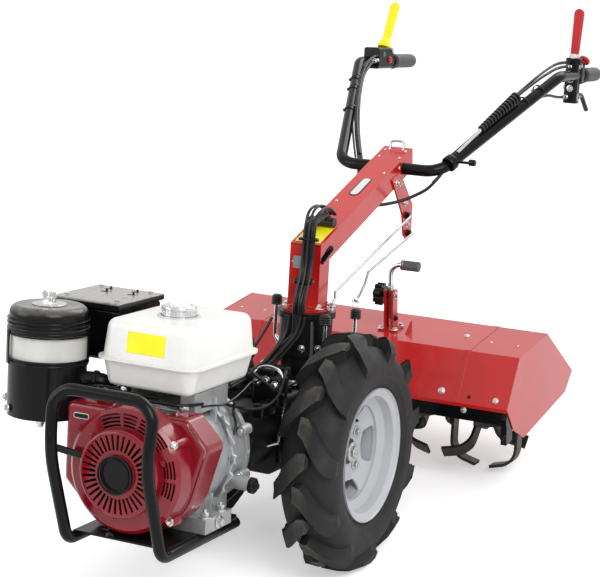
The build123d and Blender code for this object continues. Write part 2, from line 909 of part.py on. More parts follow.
# ---------------------------------------------------------------- fuel tank
def tank_slice(inset, z):
    """A rounded rectangle of the tank at one height."""
    wide = tank_right - tank_left - 2 * inset
    long = tank_rear - tank_front - 2 * inset
    place = Pos((tank_left + tank_right) / 2, (tank_front + tank_rear) / 2)
    return Plane.XY.offset(z) * place * RectangleRounded(wide, long, tank_round - inset)


def tank_half(z_end, taper, edge_round, wall):
    """The tank's moulding from its seam to one end, drawn in by a wall."""
    height = z_end - tank_seam
    side = 1 if height > 0 else -1
    section = tank_slice(tank_inset + wall, tank_seam)
    half = extrude(section, amount=side * (abs(height) - wall), taper=taper)
    end = half.faces().sort_by(Axis.Z)[-1 if side > 0 else 0]
    return fillet(end.edges(), edge_round - wall)


def tank_body(wall):
    """Both halves of the tank's moulding, drawn in by a wall."""
    return (tank_half(tank_top, tank_top_taper, tank_top_round, wall)
            + tank_half(tank_bottom, tank_floor_taper, tank_floor_round, wall))


tank = tank_body(0.0) + extrude(tank_slice(0.0, tank_seam - tank_seam_thick / 2), amount=tank_seam_thick)
tank -= tank_body(tank_wall)
machine["fuel_tank"] = tank - rod(cap_radius - cap_neck_step, (cap_x, cap_y, tank_top - 2 * tank_wall),
                                  (cap_x, cap_y, tank_top + cut_over))
cap = rod(cap_radius, (cap_x, cap_y, tank_top), (cap_x, cap_y, tank_top + cap_height))
machine["fuel_cap"] = fillet(cap.faces().sort_by(Axis.Z)[-1].edges(), cap_round)
stay_front = block_front + head_cover_thick
stay_rear = block_rear - head_cover_thick
tank_brackets = [
    block(x - bracket_half_width, x + bracket_half_width, stay_front, stay_rear, block_top, tank_bottom)
    for x in tank_bracket_x
]
machine["tank_brackets"] = Compound([bracket - machine["crankcase"] for bracket in tank_brackets])


# ---------------------------------------------------------------- air cleaner
def cleaner_ring(radius, z0, z1):
    """A round stretch of the air cleaner."""
    return rod(radius, (cleaner_x, cleaner_y, z0), (cleaner_x, cleaner_y, z1))


def cleaner_cup(radius, z0, z1):
    """An open-topped or open-bottomed round wall of the air cleaner."""
    return cleaner_ring(radius, z0, z1) - cleaner_ring(radius - cleaner_wall, z0 - cut_over, z1 + cut_over)


bowl_radius = cleaner_radius - cleaner_step
bowl = cleaner_ring(bowl_radius, cleaner_bottom, cleaner_band_bottom)
bowl -= cleaner_ring(bowl_radius - cleaner_wall, cleaner_bottom + cleaner_wall,
                     cleaner_band_bottom + cut_over)
bowl += (cleaner_ring(cleaner_radius, cleaner_band_bottom - cleaner_lip, cleaner_band_bottom - cleaner_step)
         - cleaner_ring(bowl_radius - cleaner_wall, cleaner_band_bottom - cleaner_lip, cleaner_band_bottom))
machine["air_cleaner_bowl"] = bowl + cleaner_ring(wing_nut_reach, cleaner_bottom - 2 * cleaner_step,
                                                  cleaner_bottom)
machine["air_cleaner_band"] = cleaner_cup(bowl_radius - cleaner_step / 2, cleaner_band_bottom,
                                          cleaner_band_top)
cleaner_cap = cleaner_ring(cleaner_radius - cleaner_step, cleaner_band_top, cleaner_top)
cleaner_cap = fillet(cleaner_cap.faces().sort_by(Axis.Z)[-1].edges(), cleaner_cap_round)
cleaner_cap += cleaner_ring(cleaner_radius, cleaner_band_top, cleaner_band_top + cleaner_lip)
cap_hollow_top = cleaner_top - cleaner_cap_round - cleaner_wall
machine["air_cleaner_cap"] = cleaner_cap - cleaner_ring(bowl_radius - cleaner_lip,
                                                        cleaner_band_top - cut_over,
                                                        cap_hollow_top)
wing_low = cleaner_top + wing_nut_reach / 3
wing_top = wing_low + wing_nut_reach
nut = cleaner_ring(wing_nut_washer, cleaner_top, cleaner_top + cleaner_step)
nut += cleaner_ring(wing_nut_reach / 2, cleaner_top, cleaner_top + wing_nut_reach)
nut += block(cleaner_x - wing_nut_reach, cleaner_x + wing_nut_reach, cleaner_y - cleaner_step / 2,
             cleaner_y + cleaner_step / 2, wing_low, wing_top)
machine["air_cleaner_nut"] = nut

carburettor_left = carburettor_x - carburettor_half_width
carburettor_right = carburettor_x + carburettor_half_width
carburettor = block(carburettor_left, carburettor_right, head_front - carburettor_depth, head_front,
                    carburettor_bottom, carburettor_top)
carburettor += rod(intake_radius, (cleaner_x, cleaner_y, intake_z), (carburettor_x, carburettor_y,
    intake_z))
machine["carburettor"] = carburettor - cleaner_ring(bowl_radius, cleaner_bottom, cleaner_top)

# ---------------------------------------------------------------- muffler
muffler = block(muffler_left, muffler_right, muffler_front, muffler_rear, muffler_bottom, muffler_top)
muffler = fillet(muffler.edges().filter_by(Axis.X), muffler_round)
machine["muffler"] = muffler - offset(muffler, amount=-muffler_wall)
shield_top = muffler_top + shield_gap
shield_left = muffler_left - shield_margin
shield_right = muffler_right + shield_margin / 2
shield_front = muffler_front - shield_margin
shield_rear = muffler_rear + shield_margin
shield = block(shield_left, shield_right, shield_front, shield_rear, shield_top - shield_lip,
               shield_top + shield_thick)
long_edges = shield.edges().filter_by(Axis.X).sort_by(Axis.Z)[-2:]
shield = fillet(shield.edges().filter_by(Axis.Y) + long_edges, shield_round)
shield -= block(shield_left + shield_thick, shield_right - shield_thick, shield_front + shield_thick,
                shield_rear - shield_thick, shield_top - shield_lip - cut_over, shield_top)
for foot_x in (muffler_left + shield_foot_width, muffler_right - 2 * shield_foot_width):
    shield += block(foot_x, foot_x + shield_foot_width, muffler_front + 2 * shield_foot_width,
                    muffler_rear - 2 * shield_foot_width, muffler_top, shield_top)
machine["muffler_shield"] = shield
pipe_x = -case_radius - head_length / 2
pipe_y = (muffler_front + muffler_rear) / 2
machine["exhaust_pipe"] = rod(exhaust_radius, (pipe_x, pipe_y, head_top), (pipe_x, pipe_y, muffler_bottom))

# ---------------------------------------------------------------- front guard
guard_side = [
    # half width, y and z, from the rail's rear end to the top
    (guard_half_width, guard_rail_rear, guard_rail_z),
    (guard_half_width, guard_corner_y, guard_rail_z),
    (guard_half_width, guard_knee_y, guard_knee_z),
    (guard_shoulder_x, guard_top_y, guard_top_z),
]
guard_path = [(-x, y, z) for x, y, z in guard_side] + guard_side[::-1]
guard_bends = (guard_corner_bend, guard_knee_bend, guard_top_bend)
machine["front_guard"] = bent_rod(guard_path, guard_bends + guard_bends[::-1], guard_radius)
plate = block(-guard_half_width, guard_half_width, base_plate_front, base_plate_rear,
              engine_foot - base_plate_thick, engine_foot)
machine["base_plate"] = plate - machine["front_guard"]

# ---------------------------------------------------------------- tiller drive
nose_start = casing_rear + coupling_thick
nose_end = nose_start + coupling_nose
coupling = rod(coupling_radius, (0, casing_rear, 0), (0, nose_start, 0))
machine["implement_coupling"] = coupling + rod(coupling_nose_radius, (0, nose_start, 0), (0, nose_end, 0))

case_end_y = rotor_y - rotor_radius - 2 * clear_gap
drive_case = park(rod(drive_tube_radius, (0, nose_end, 0), (0, case_end_y + drive_nose_length / 4, 0)))
drive_case = drive_case & block(-drive_case_half, drive_case_half, 0, case_end_y, 0, 2 * wheel_radius)
chain_case = [
    (case_end_y - drive_nose_length, rotor_z - chain_case_half),
    (case_end_y - drive_nose_length, rotor_z + chain_case_front_rise),
    (case_end_y + drive_nose_length, rotor_z + chain_case_rise),
    (rotor_y, rotor_z + chain_case_radius),
    (rotor_y, rotor_z - chain_case_radius),
]
drive_case += side_plate(chain_case, -chain_case_half, chain_case_half)
drive_case += rod(chain_case_radius, (-chain_case_half, rotor_y, rotor_z), (chain_case_half, rotor_y,
    rotor_z))
drive_case += block(-chain_case_half, chain_case_half, hood_front_y + chain_case_half,
                    hood_rear_y - chain_case_half,
                    rotor_z, hood_top_z - hood_sheet)
bearing = rod(rotor_shaft_radius + running_gap, (-2 * chain_case_half, rotor_y, rotor_z),
              (2 * chain_case_half, rotor_y, rotor_z))
machine_case = drive_case - bearing
tiller["tiller_gear_case"] = machine_case

# ---------------------------------------------------------------- rotor
tine_sweep = math.radians(tine_turn)
tine_reach = (tine_bend * (1.0 - math.cos(tine_sweep)) + tine_foot * math.sin(tine_sweep)
              + tine_thick + tine_flange_thick)
tine_rise = tine_bend * math.sin(tine_sweep) + tine_foot * math.cos(tine_sweep)
rotor_end = hood_half_width - rotor_end_gap
first_flange = chain_case_half + clear_gap + tine_reach
last_flange = rotor_end - tine_flange_thick
flange_step = (last_flange - first_flange) / (tine_rows - 1)
flange_places = [first_flange + k * flange_step for k in range(tine_rows - 1)] + [last_flange]

rotor_shaft = rod(rotor_shaft_radius, (-rotor_end, rotor_y, rotor_z), (rotor_end, rotor_y, rotor_z))
for x in flange_places:
    for centre in (-x, x):
        rotor_shaft += rod(tine_flange_radius, (centre - tine_flange_thick / 2, rotor_y, rotor_z),
                           (centre + tine_flange_thick / 2, rotor_y, rotor_z))
tiller["rotor_shaft"] = rotor_shaft


def tine():
    """One blade: a shank flat on its flange that curves into a foot towards +X."""
    edge_rise = math.sqrt(rotor_radius ** 2 - (tine_width / 2) ** 2)
    shank_top = edge_rise - tine_rise - tine_thick / 2
    shank = Line((0, 0, tine_root), (0, 0, shank_top))
    bend = JernArc(start=(0, shank_top), tangent=(0, 1), radius=tine_bend, arc_size=-tine_turn)
    bend = Plane(origin=(0, 0, 0), x_dir=(1, 0, 0), z_dir=(0, -1, 0)) * bend
    foot = Line(bend @ 1, (bend @ 1) + (bend % 1) * tine_foot)
    path = Wire([shank, *bend.edges(), foot])
    section = Plane(origin=shank @ 0, x_dir=(0, 1, 0), z_dir=(0, 0, 1)) * Rectangle(tine_width, tine_thick)
    return sweep(section, path=path)


blade = tine()
shank_offset = (tine_flange_thick + tine_thick) / 2
tines = []
for row, x in enumerate(flange_places):
    for k in range(tines_per_flange):
        turned = Pos(shank_offset, 0, 0) * blade
        if k % 2 == 0 or x == last_flange:
            turned = turned.mirror(Plane.YZ)
        angle = tine_first_turn + k * 360.0 / tines_per_flange + row * tine_row_turn
        placed = Pos(x, 0, 0) * Rot(X=angle) * turned
        tines.append(Pos(0, rotor_y, rotor_z) * placed)
        tines.append(Pos(0, rotor_y, rotor_z) * placed.mirror(Plane.YZ))
tiller["tines"] = Compound(tines)

# ---------------------------------------------------------------- hood
beam_top = hood_low_z - hood_sheet
cheek_inner = hood_half_width - hood_sheet


def mirrored(solid):
    """A solid and its mirror image across the middle plane."""
    return [solid, solid.mirror(Plane.YZ)]


front_beam = block(drive_case_half, cheek_inner, beam_front_y, beam_back_y, beam_low_z, beam_top)
front_beam += block(cheek_inner - beam_end_width, cheek_inner, beam_front_y + beam_end_front,
                    beam_back_y + beam_end_rear, beam_low_z - beam_end_drop, beam_top)
tiller["tiller_beam"] = Compound(mirrored(front_beam))

hood_line = [
    (beam_front_y - hood_sheet, hood_low_z - hood_lip),
    (beam_front_y - hood_sheet, hood_low_z),
    (hood_front_y, hood_top_z),
    (hood_rear_y, hood_top_z),
    (hood_tail_y, hood_tail_z),
]


def sheet(start, end, x0, x1):
    """A flat sheet between two (y, z) points, with its thickness on the inside."""
    run_y = end[0] - start[0]
    run_z = end[1] - start[1]
    length = math.hypot(run_y, run_z)
    dy = run_z / length * hood_sheet
    dz = -run_y / length * hood_sheet
    outline = [start, end, (end[0] + dy, end[1] + dz), (start[0] + dy, start[1] + dz)]
    return side_plate(outline, x0, x1)


def hood(x0, x1):
    """The folded hood sheet from x0 to x1."""
    shell = sheet(hood_line[0], hood_line[1], x0, x1)
    for start, end in zip(hood_line[1:], hood_line[2:]):
        shell += sheet(start, end, x0, x1)
    return shell


cheek_outline = hood_line[1:] + [
    (cheek_tail_y, cheek_tail_z),
    (cheek_foot_y + cheek_foot_length, cheek_foot_z),
    (cheek_foot_y, cheek_foot_z),
    (cheek_foot_y - cheek_rise_run, cheek_foot_z + cheek_rise),
]
tiller["hood_centre"] = hood(-hood_joint_x, hood_joint_x)
wing = hood(hood_joint_x, cheek_inner) + side_plate(cheek_outline, cheek_inner, hood_half_width)
tiller["hood_wing_left"], tiller["hood_wing_right"] = mirrored(wing)

# ---------------------------------------------------------------- depth control and skid
bracket_front = depth_y - depth_bracket_half
bracket_rear = depth_y + depth_bracket_half
bracket_floor = hood_top_z + depth_bracket_sheet
depth_bracket = block(depth_bracket_left, depth_bracket_right, bracket_front, bracket_rear, hood_top_z,
                      depth_bracket_top)
depth_bracket -= block(depth_bracket_left + depth_bracket_sheet, depth_bracket_right - depth_bracket_sheet,
                       bracket_front - cut_over, bracket_rear - depth_bracket_sheet, bracket_floor,
                       depth_bracket_top + cut_over)
depth_bracket += block(depth_bracket_left - depth_foot_reach, depth_bracket_right + depth_foot_reach,
                       bracket_front - depth_foot_reach, bracket_rear + depth_foot_reach, hood_top_z,
                       bracket_floor)
knob_hole_end = depth_bracket_left + depth_bracket_sheet + cut_over
depth_bracket -= rod(depth_rod_radius + running_gap, (depth_bracket_left - cut_over, depth_y, knob_z),
                     (knob_hole_end, depth_y, knob_z))
gusset_outline = [
    (gusset_y, hood_top_z),
    (gusset_y + gusset_length, hood_top_z),
    (gusset_y + gusset_length, hood_top_z + gusset_height),
]
gusset = side_plate(gusset_outline, gusset_x, gusset_x + depth_bracket_sheet)
tiller["depth_bracket"] = Compound([depth_bracket, gusset])

knob_end = depth_bracket_left - clear_gap
knob_start = knob_end - knob_thick
knob = rod(knob_radius, (knob_start, depth_y, knob_z), (knob_end, depth_y, knob_z))
notches = [
    Pos(0, depth_y, knob_z) * Rot(X=k * 360.0 / knob_lobes)
    * rod(knob_notch, (knob_start - cut_over, 0, knob_radius), (knob_end + cut_over, 0, knob_radius))
    for k in range(knob_lobes)
]
tiller["depth_knob"] = knob.cut(*notches) + rod(depth_rod_radius, (knob_end, depth_y, knob_z),
                                                (depth_bracket_left + depth_bracket_sheet, depth_y, knob_z))
depth_rod_x = (depth_bracket_left + depth_bracket_right) / 2
depth_rod_end = depth_rod_x + depth_rod_reach
depth_path = [
    (depth_rod_x, depth_y, bracket_floor),
    (depth_rod_x, depth_y, depth_rod_top),
    (depth_rod_end, depth_y, depth_rod_top),
]
tiller["depth_lever"] = bent_rod(depth_path, depth_rod_bend, depth_rod_radius)
depth_grip = rod(depth_grip_radius, (depth_rod_end - depth_rod_radius, depth_y, depth_rod_top),
                 (depth_rod_end + depth_grip_length, depth_y, depth_rod_top))
tiller["depth_grip"] = depth_grip - tiller["depth_lever"]

skid_front = rotor_y + chain_case_radius - skid_seat
skid_shape = [(skid_front, rotor_z + skid_sole)]
skid_shape += [(skid_y + dy, z) for dy, z in skid_outline]
skid_shape += [(skid_front, rotor_z - skid_sole / 2)]
tiller["depth_skid"] = side_plate(skid_shape, -skid_half_width,
                                  skid_half_width) - tiller["tiller_gear_case"]

# ---------------------------------------------------------------- steering column
slope = math.tan(math.radians(beam_slope))
beam_drop = beam_depth / math.cos(math.radians(beam_slope))
wall_drop = column_wall / math.cos(math.radians(beam_slope))
column_foot = turntable_top + face_gap
column_sill = column_foot + column_flange_thick


def beam_top_z(y):
    """The height of the beam's top face."""
    return column_elbow_z + (y - column_front) * slope


bar_cross_z = beam_top_z(bar_cross_y) - beam_drop / 2
head_low_y = beam_head_y + beam_head_lean
column_outline = [
    (column_front, column_sill),
    (column_front, column_elbow_z),
    (beam_head_y, beam_top_z(beam_head_y)),
    (head_low_y, beam_top_z(head_low_y) - beam_drop),
    (column_rear, beam_top_z(column_rear) - beam_drop),
    (column_rear, column_sill),
]
in_front = column_front + column_wall
in_rear = column_rear - column_wall
past_head = beam_head_y + beam_depth
hollow_outline = [
    (in_front, column_sill),
    (in_front, beam_top_z(in_front) - wall_drop),
    (past_head, beam_top_z(past_head) - wall_drop),
    (past_head, beam_top_z(past_head) - beam_drop + wall_drop),
    (in_rear, beam_top_z(in_rear) - beam_drop + wall_drop),
    (in_rear, column_sill),
]
column_block = side_plate(column_outline, -column_half_width, column_half_width)
column = column_block - side_plate(hollow_outline, -column_half_width + column_wall,
                                   column_half_width - column_wall)
column += rod(column_flange_radius, (0, swivel_y, column_foot), (0, swivel_y, column_sill))
column += rod(column_bush_radius, (0, swivel_y, column_foot), (0, swivel_y, swivel_pin_top))
column -= rod(swivel_pin_radius + running_gap, (0, swivel_y, column_foot - cut_over),
              (0, swivel_y, swivel_pin_top + cut_over))
column -= rod(bar_radius + running_gap, (-beam_depth, bar_cross_y, bar_cross_z), (beam_depth,
    bar_cross_y, bar_cross_z))
machine["column"] = column

plate_x = column_half_width + hanger_thick
machine["linkage_plate"] = side_plate(hanger_outline, column_half_width, plate_x)

# gear rods, from their pins in the linkage plate down to the gear levers
gear_rods = []
for (pin_y, pin_z), route in zip(gear_rod_pins, gear_rod_routes):
    rod_path = [(plate_x, pin_y, pin_z), (plate_x + gear_rod_step, pin_y, pin_z), *route]
    gear_rods.append(bent_rod(rod_path, gear_rod_bend, gear_rod_radius))
machine["gear_rods"] = Compound(gear_rods)

eye_y = beam_head_y - gear_rod_step
eye_z = beam_top_z(eye_y)
eye_path = [
    (-cable_loop_half_width, eye_y, eye_z - cable_loop_radius),
    (-cable_loop_half_width, eye_y + cable_loop_lean, eye_z + cable_loop_height),
    (cable_loop_half_width, eye_y + cable_loop_lean, eye_z + cable_loop_height),
    (cable_loop_half_width, eye_y, eye_z - cable_loop_radius),
]
machine["cable_loop"] = bent_rod(eye_path, cable_loop_lean, cable_loop_radius) - column_block
swivel_lever = rod(gear_rod_radius, swivel_lever_foot, swivel_lever_bend)
machine["swivel_lever"] = swivel_lever + rod(2 * gear_rod_radius, swivel_lever_bend,
                                             swivel_lever_tip) - column_block

# ---------------------------------------------------------------- control looms
# The looms are cut at the turntable, and the bar cables at the handlebar's pivot.
sleeve_lift = sleeve_radius / math.cos(math.radians(beam_slope)) + face_gap
sleeve_z = beam_top_z(sleeve_y) + sleeve_lift
loom_upper = rod(sleeve_radius, (-sleeve_half_length, sleeve_y, sleeve_z), (sleeve_half_length, sleeve_y,
    sleeve_z))
for x in (loom_x - loom_radius, loom_x + loom_radius + face_gap):
    climb = [(x, loom_low_y, column_foot)] + [(x, y, z) for y, z in loom_route] + [(x, sleeve_y, sleeve_z)]
    loom_upper += bent_rod(climb, loom_bend, loom_radius)
for drop in drop_routes:
    side_x, last_y, last_z = drop[-1]
    depth = beam_top_z(last_y) - last_z
    along = (side_x, drop_low_y, beam_top_z(drop_low_y) - depth)
    rise = (side_x, drop_turn_y, beam_top_z(drop_turn_y) - depth / 3)
    loom_upper += cable([*drop, along, rise, (-sleeve_half_length, sleeve_y, sleeve_z)], drop_cable_radius)
machine["loom_upper"] = loom_upper - column_block
lower_loom_z = casing_top + casing_lid_thick + lower_loom_radius + face_gap
lower_loom = [
    (loom_x, loom_low_y, turntable_top),
    (loom_x, loom_low_y, lower_loom_turn_z),
    (lower_loom_x, lower_loom_y, lower_loom_z),
    (lower_loom_x, lower_loom_end, lower_loom_z),
]
machine["loom_lower"] = bent_rod(lower_loom, loom_bend, lower_loom_radius) - machine["turntable"]

# ---------------------------------------------------------------- gear levers on the gearbox
gear_levers = []
lever_boots = []
for foot_x, foot_y, x, y, z in gear_lever_places:
    lever_path = [
        (foot_x, foot_y, casing_top - gear_lever_radius),
        (foot_x, foot_y, casing_top + gear_lever_rise),
        (x, y, casing_top + 2 * gear_lever_rise),
        (x, y, z),
    ]
    gear_levers.append(bent_rod(lever_path, 2 * gear_lever_radius, gear_lever_radius) - casing)
    boot = rod(boot_radius, (x, y, z - boot_half_height), (x, y, z + boot_half_height))
    lever_boots.append(boot - gear_levers[-1])
machine["gear_levers"] = Compound(gear_levers)
machine["lever_boots"] = Compound(lever_boots)

# ---------------------------------------------------------------- handlebar
bar_points = [
    (-bar_end_x, bar_end_y, bar_upper_z),
    (-bar_upper_x, bar_upper_y, bar_upper_z),
    (-bar_lower_x, bar_cross_y, bar_cross_z),
    (bar_lower_x, bar_cross_y, bar_cross_z),
    (bar_upper_x, bar_upper_y, bar_upper_z),
    (bar_end_x, bar_end_y, bar_upper_z),
]
bar_solid = bent_rod(bar_points, bar_bend, bar_radius)
machine["handlebar"] = bar_solid - bent_rod(bar_points, bar_bend, bar_radius - bar_wall)
grips = []
for sign in (-1, 1):
    grip_end = Vector(sign * bar_end_x, bar_end_y, bar_upper_z)
    back = (Vector(sign * bar_upper_x, bar_upper_y, bar_upper_z) - grip_end).normalized()
    grip = rod(grip_radius, tuple(grip_end + back * grip_length), tuple(grip_end - back * grip_cap))
    grips.append(grip - rod(bar_radius, tuple(grip_end + back * (grip_length + grip_cap)), tuple(grip_end)))
machine["grips"] = Compound(grips)


def lever_blade(foot, tip):
    """A flat hand lever that widens towards its round tip."""
    run = Vector(*tip) - Vector(*foot)
    tip_round = Pos(0, run.length - lever_tip_radius) * Circle(lever_tip_radius)
    rounds = Circle(lever_foot_radius).edges() + tip_round.edges()
    flat = Plane(origin=foot, x_dir=(1, 0, 0), z_dir=Vector(1, 0, 0).cross(run))
    blade_solid = extrude(flat * make_hull(rounds), amount=lever_thick / 2, both=True)
    sides = blade_solid.faces().sort_by(Axis.Y)
    return fillet(sides[0].edges() + sides[-1].edges(), lever_round)


switch_box = block(-bar_end_x - switch_box_half, -bar_end_x + switch_box_half,
                   switch_box_front, switch_box_rear, switch_box_low, switch_box_top)
switch_box = fillet(switch_box.edges().filter_by(Axis.Y), control_round)
machine["switch_box"] = switch_box - bar_solid
machine["yellow_lever"] = lever_blade(yellow_lever_foot, yellow_lever_tip) - switch_box
throttle_box = block(bar_end_x - throttle_box_half, bar_end_x + throttle_box_half, throttle_box_front,
                     throttle_box_rear,
                     throttle_box_low, throttle_box_top)
throttle_box = fillet(throttle_box.edges().filter_by(Axis.Z), control_round)
machine["red_lever"] = lever_blade(red_lever_foot, red_lever_tip) - throttle_box
throttle_path = [(bar_end_x, y, z) for y, z in throttle_lever]
throttle_box += bent_rod(throttle_path, throttle_lever_bend, throttle_lever_radius)
machine["throttle_box"] = throttle_box - bar_solid

# cables and bellows that ride on the handlebar
bellows_run = Vector(*bellows_high) - Vector(*bellows_low)
rib_half = bellows_run / (4 * bellows_rib_count)
shift_cable = rod(bellows_low_radius - bellows_rib_depth, bellows_low, bellows_high)
for k in range(bellows_rib_count):
    share = (k + 0.5) / bellows_rib_count
    radius = bellows_low_radius + share * (bellows_high_radius - bellows_low_radius)
    rib = Vector(*bellows_low) + bellows_run * share
    shift_cable += rod(radius, tuple(rib - rib_half), tuple(rib + rib_half))
shift_cable += rod(gear_rod_radius, shift_rod_foot, bellows_low)
shift_cable += cable([bellows_high, *upper_cable_route], bar_cable_radius)
bar_cables = [shift_cable, cable(lower_cable_route, bar_cable_radius)]
for k in range(2):
    route = [(x + k * bar_cable_spacing, y, z) for x, y, z in switch_cable_route]
    bar_cables.append(cable(route, bar_cable_radius))
held = (bar_solid, machine["switch_box"], machine["throttle_box"])
machine["bar_cables"] = Compound([piece.cut(*held) for piece in bar_cables])

# ---------------------------------------------------------------- placing and writing
pieces = {name: park(solid) for name, solid in machine.items()}
pieces.update(tiller)
whole = Compound(list(pieces.values())).bounding_box()
centre_y = (whole.min.Y + whole.max.Y) / 2
for name, solid in pieces.items():
    placed = Pos(0, -centre_y, 0) * solid
    placed.label = name
    export_step(placed, f"parts/{name}.step")
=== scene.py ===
import json
from math import atan2, cos, degrees as inDegrees, hypot, pi, radians, sin, tan, tau

import bmesh
import bpy
from mathutils import Matrix, Vector


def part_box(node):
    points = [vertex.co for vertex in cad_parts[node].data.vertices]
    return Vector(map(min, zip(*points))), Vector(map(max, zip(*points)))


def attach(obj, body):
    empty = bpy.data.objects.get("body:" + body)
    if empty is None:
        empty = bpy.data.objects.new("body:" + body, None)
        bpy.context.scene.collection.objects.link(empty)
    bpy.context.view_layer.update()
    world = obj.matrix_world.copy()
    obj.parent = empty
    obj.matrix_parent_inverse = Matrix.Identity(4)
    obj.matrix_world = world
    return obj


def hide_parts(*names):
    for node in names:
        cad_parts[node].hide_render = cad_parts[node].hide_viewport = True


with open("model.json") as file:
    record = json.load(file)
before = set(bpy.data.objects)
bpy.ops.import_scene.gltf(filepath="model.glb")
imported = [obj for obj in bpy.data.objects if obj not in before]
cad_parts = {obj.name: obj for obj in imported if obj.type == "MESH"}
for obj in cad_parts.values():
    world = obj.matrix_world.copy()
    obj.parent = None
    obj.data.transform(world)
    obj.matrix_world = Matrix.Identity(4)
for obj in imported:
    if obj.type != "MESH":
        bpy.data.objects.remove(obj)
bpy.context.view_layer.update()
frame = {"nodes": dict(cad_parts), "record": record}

nodes = frame["nodes"]
axle = sum(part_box("tyre_left"), Vector()) / 2
axle.x = 0

# camera
cameraSetup = {
    "place": (1.6692, -3.1902, 1.6952),  # metres from the floor under the axle
    "yaw": 26.5,
    "pitch": 17.17,
    "roll": -0.63,
    "lens": 108,
    "sensor": 36,
    "reach": 60,
}


def makeCamera(setup):
    yaw, pitch, roll = (radians(setup[key]) for key in ("yaw", "pitch", "roll"))
    data = bpy.data.cameras.new("mainCamera")
    data.lens = setup["lens"]
    data.sensor_width = setup["sensor"]
    data.clip_end = setup["reach"]
    camera = bpy.data.objects.new("mainCamera", data)
    bpy.context.scene.collection.objects.link(camera)
    aim = Matrix.Rotation(yaw, 4, "Z") @ Matrix.Rotation(pi / 2 - pitch, 4, "X") @ Matrix.Rotation(roll, 4, "Z")
    camera.matrix_world = Matrix.Translation(Vector(setup["place"]) + Vector((0, axle.y, 0))) @ aim
    bpy.context.scene.camera = camera


makeCamera(cameraSetup)
print("camera set")


def feed(tree, node, sockets):
    for socket, value in sockets.items():
        if isinstance(value, bpy.types.NodeSocket):
            tree.links.new(value, node.inputs[socket])
        else:
            node.inputs[socket].default_value = value


def addNode(tree, kind, sockets, **traits):
    node = tree.nodes.new("ShaderNode" + kind)
    for trait, value in traits.items():
        setattr(node, trait, value)
    feed(tree, node, sockets)
    return node.outputs


def newPiece(name, shape, material, place):
    mesh = bpy.data.meshes.new(name)
    shape.to_mesh(mesh)
    shape.free()
    mesh.transform(place)
    mesh.materials.append(material)
    piece = bpy.data.objects.new(name, mesh)
    bpy.context.scene.collection.objects.link(piece)
    return piece


# studio
studioSetup = {
    "white": (1, 1, 1, 1),
    "skyStrength": 0.62,
    "backdropStrength": 1,
    "floorColour": (0.93, 0.93, 0.93, 1),
    "floorGlow": 0.42,
    "floorSize": 30,
    "floorHeight": -0.0005,
    "target": (0, 0.1, 0.4),
    "lamps": (
        # name, place from the axle, size, watts
        ("keyLamp", (2.6, -2.2, 3.4), 2.4, 120),
        ("fillLamp", (-3.2, -2.6, 2.2), 2.6, 60),
        ("rimLamp", (0.8, 3.4, 3.2), 2.6, 80),
    ),
}


def makeWorld(setup):
    world = bpy.data.worlds.new("studioWorld")
    bpy.context.scene.world = world
    world.use_nodes = True
    tree = world.node_tree
    tree.nodes.clear()
    ray = addNode(tree, "LightPath", {})
    sky = addNode(tree, "Background", {"Strength": setup["skyStrength"], "Color": setup["white"]})
    seen = addNode(tree, "Background", {"Strength": setup["backdropStrength"], "Color": setup["white"]})
    share = ray["Is Camera Ray"]
    for kind in ("Is Transmission Ray", "Is Glossy Ray"):
        share = addNode(tree, "Math", {0: share, 1: ray[kind]}, operation="MAXIMUM")[0]
    mixer = addNode(tree, "MixShader", {0: share, 1: sky[0], 2: seen[0]})
    addNode(tree, "OutputWorld", {"Surface": mixer[0]})


def makeFloor(setup):
    material = bpy.data.materials.new("paleFloor")
    material.use_nodes = True
    tree = material.node_tree
    tree.nodes.clear()
    diffuse = addNode(tree, "BsdfDiffuse", {"Color": setup["floorColour"]})[0]
    glow = addNode(tree, "Emission", {"Strength": setup["floorGlow"]})[0]
    lift = addNode(tree, "AddShader", {0: diffuse, 1: glow})[0]
    ray = addNode(tree, "LightPath", {})["Is Camera Ray"]
    pick = addNode(tree, "MixShader", {0: ray, 1: diffuse, 2: lift})[0]
    addNode(tree, "OutputMaterial", {"Surface": pick})
    grid = bmesh.new()
    bmesh.ops.create_grid(grid, x_segments=1, y_segments=1, size=setup["floorSize"] / 2)
    newPiece("studioFloor", grid, material, Matrix.Translation((0, 0, setup["floorHeight"])))


def makeLamps(setup):
    foot = Vector((0, axle.y, 0))
    for name, place, size, watts in setup["lamps"]:
        light = bpy.data.lights.new(name, "AREA")
        light.size = size
        light.energy = watts
        lamp = bpy.data.objects.new(name, light)
        bpy.context.scene.collection.objects.link(lamp)
        aim = Vector(setup["target"]) - Vector(place)
        lamp.matrix_world = Matrix.Translation(foot + Vector(place)) @ aim.to_track_quat("-Z", "Y").to_matrix().to_4x4()


makeWorld(studioSetup)
makeFloor(studioSetup)
makeLamps(studioSetup)
bpy.context.scene.view_settings.view_transform = "Standard"
print("studio set")


# finishes
def noise(tree, scale, detail=3, rough=0.5):
    place = addNode(tree, "TexCoord", {})["Object"]
    return addNode(tree, "TexNoise", {"Vector": place, "Scale": scale, "Detail": detail,
                                      "Roughness": rough})["Fac"]


def ramp(tree, source, stops):
    tone = addNode(tree, "ValToRGB", {"Fac": source})["Color"]
    elements = tone.node.color_ramp.elements
    while len(elements) < len(stops):
        elements.new(0.5)
    for element, (spot, colour) in zip(elements, stops):
        element.position = spot
        element.color = (*colour, 1)
    return tone


def spread(tree, source, low, high, start=0, end=1):
    return addNode(tree, "MapRange", {"Value": source, "From Min": start, "From Max": end, "To Min": low,
                                      "To Max": high})["Result"]


def mixed(tree, share, first, second):
    return addNode(tree, "Mix", {0: share, 6: first, 7: (*second, 1)}, data_type="RGBA")[2]


def times(tree, first, second):
    return addNode(tree, "Math", {0: first, 1: second}, operation="MULTIPLY")[0]


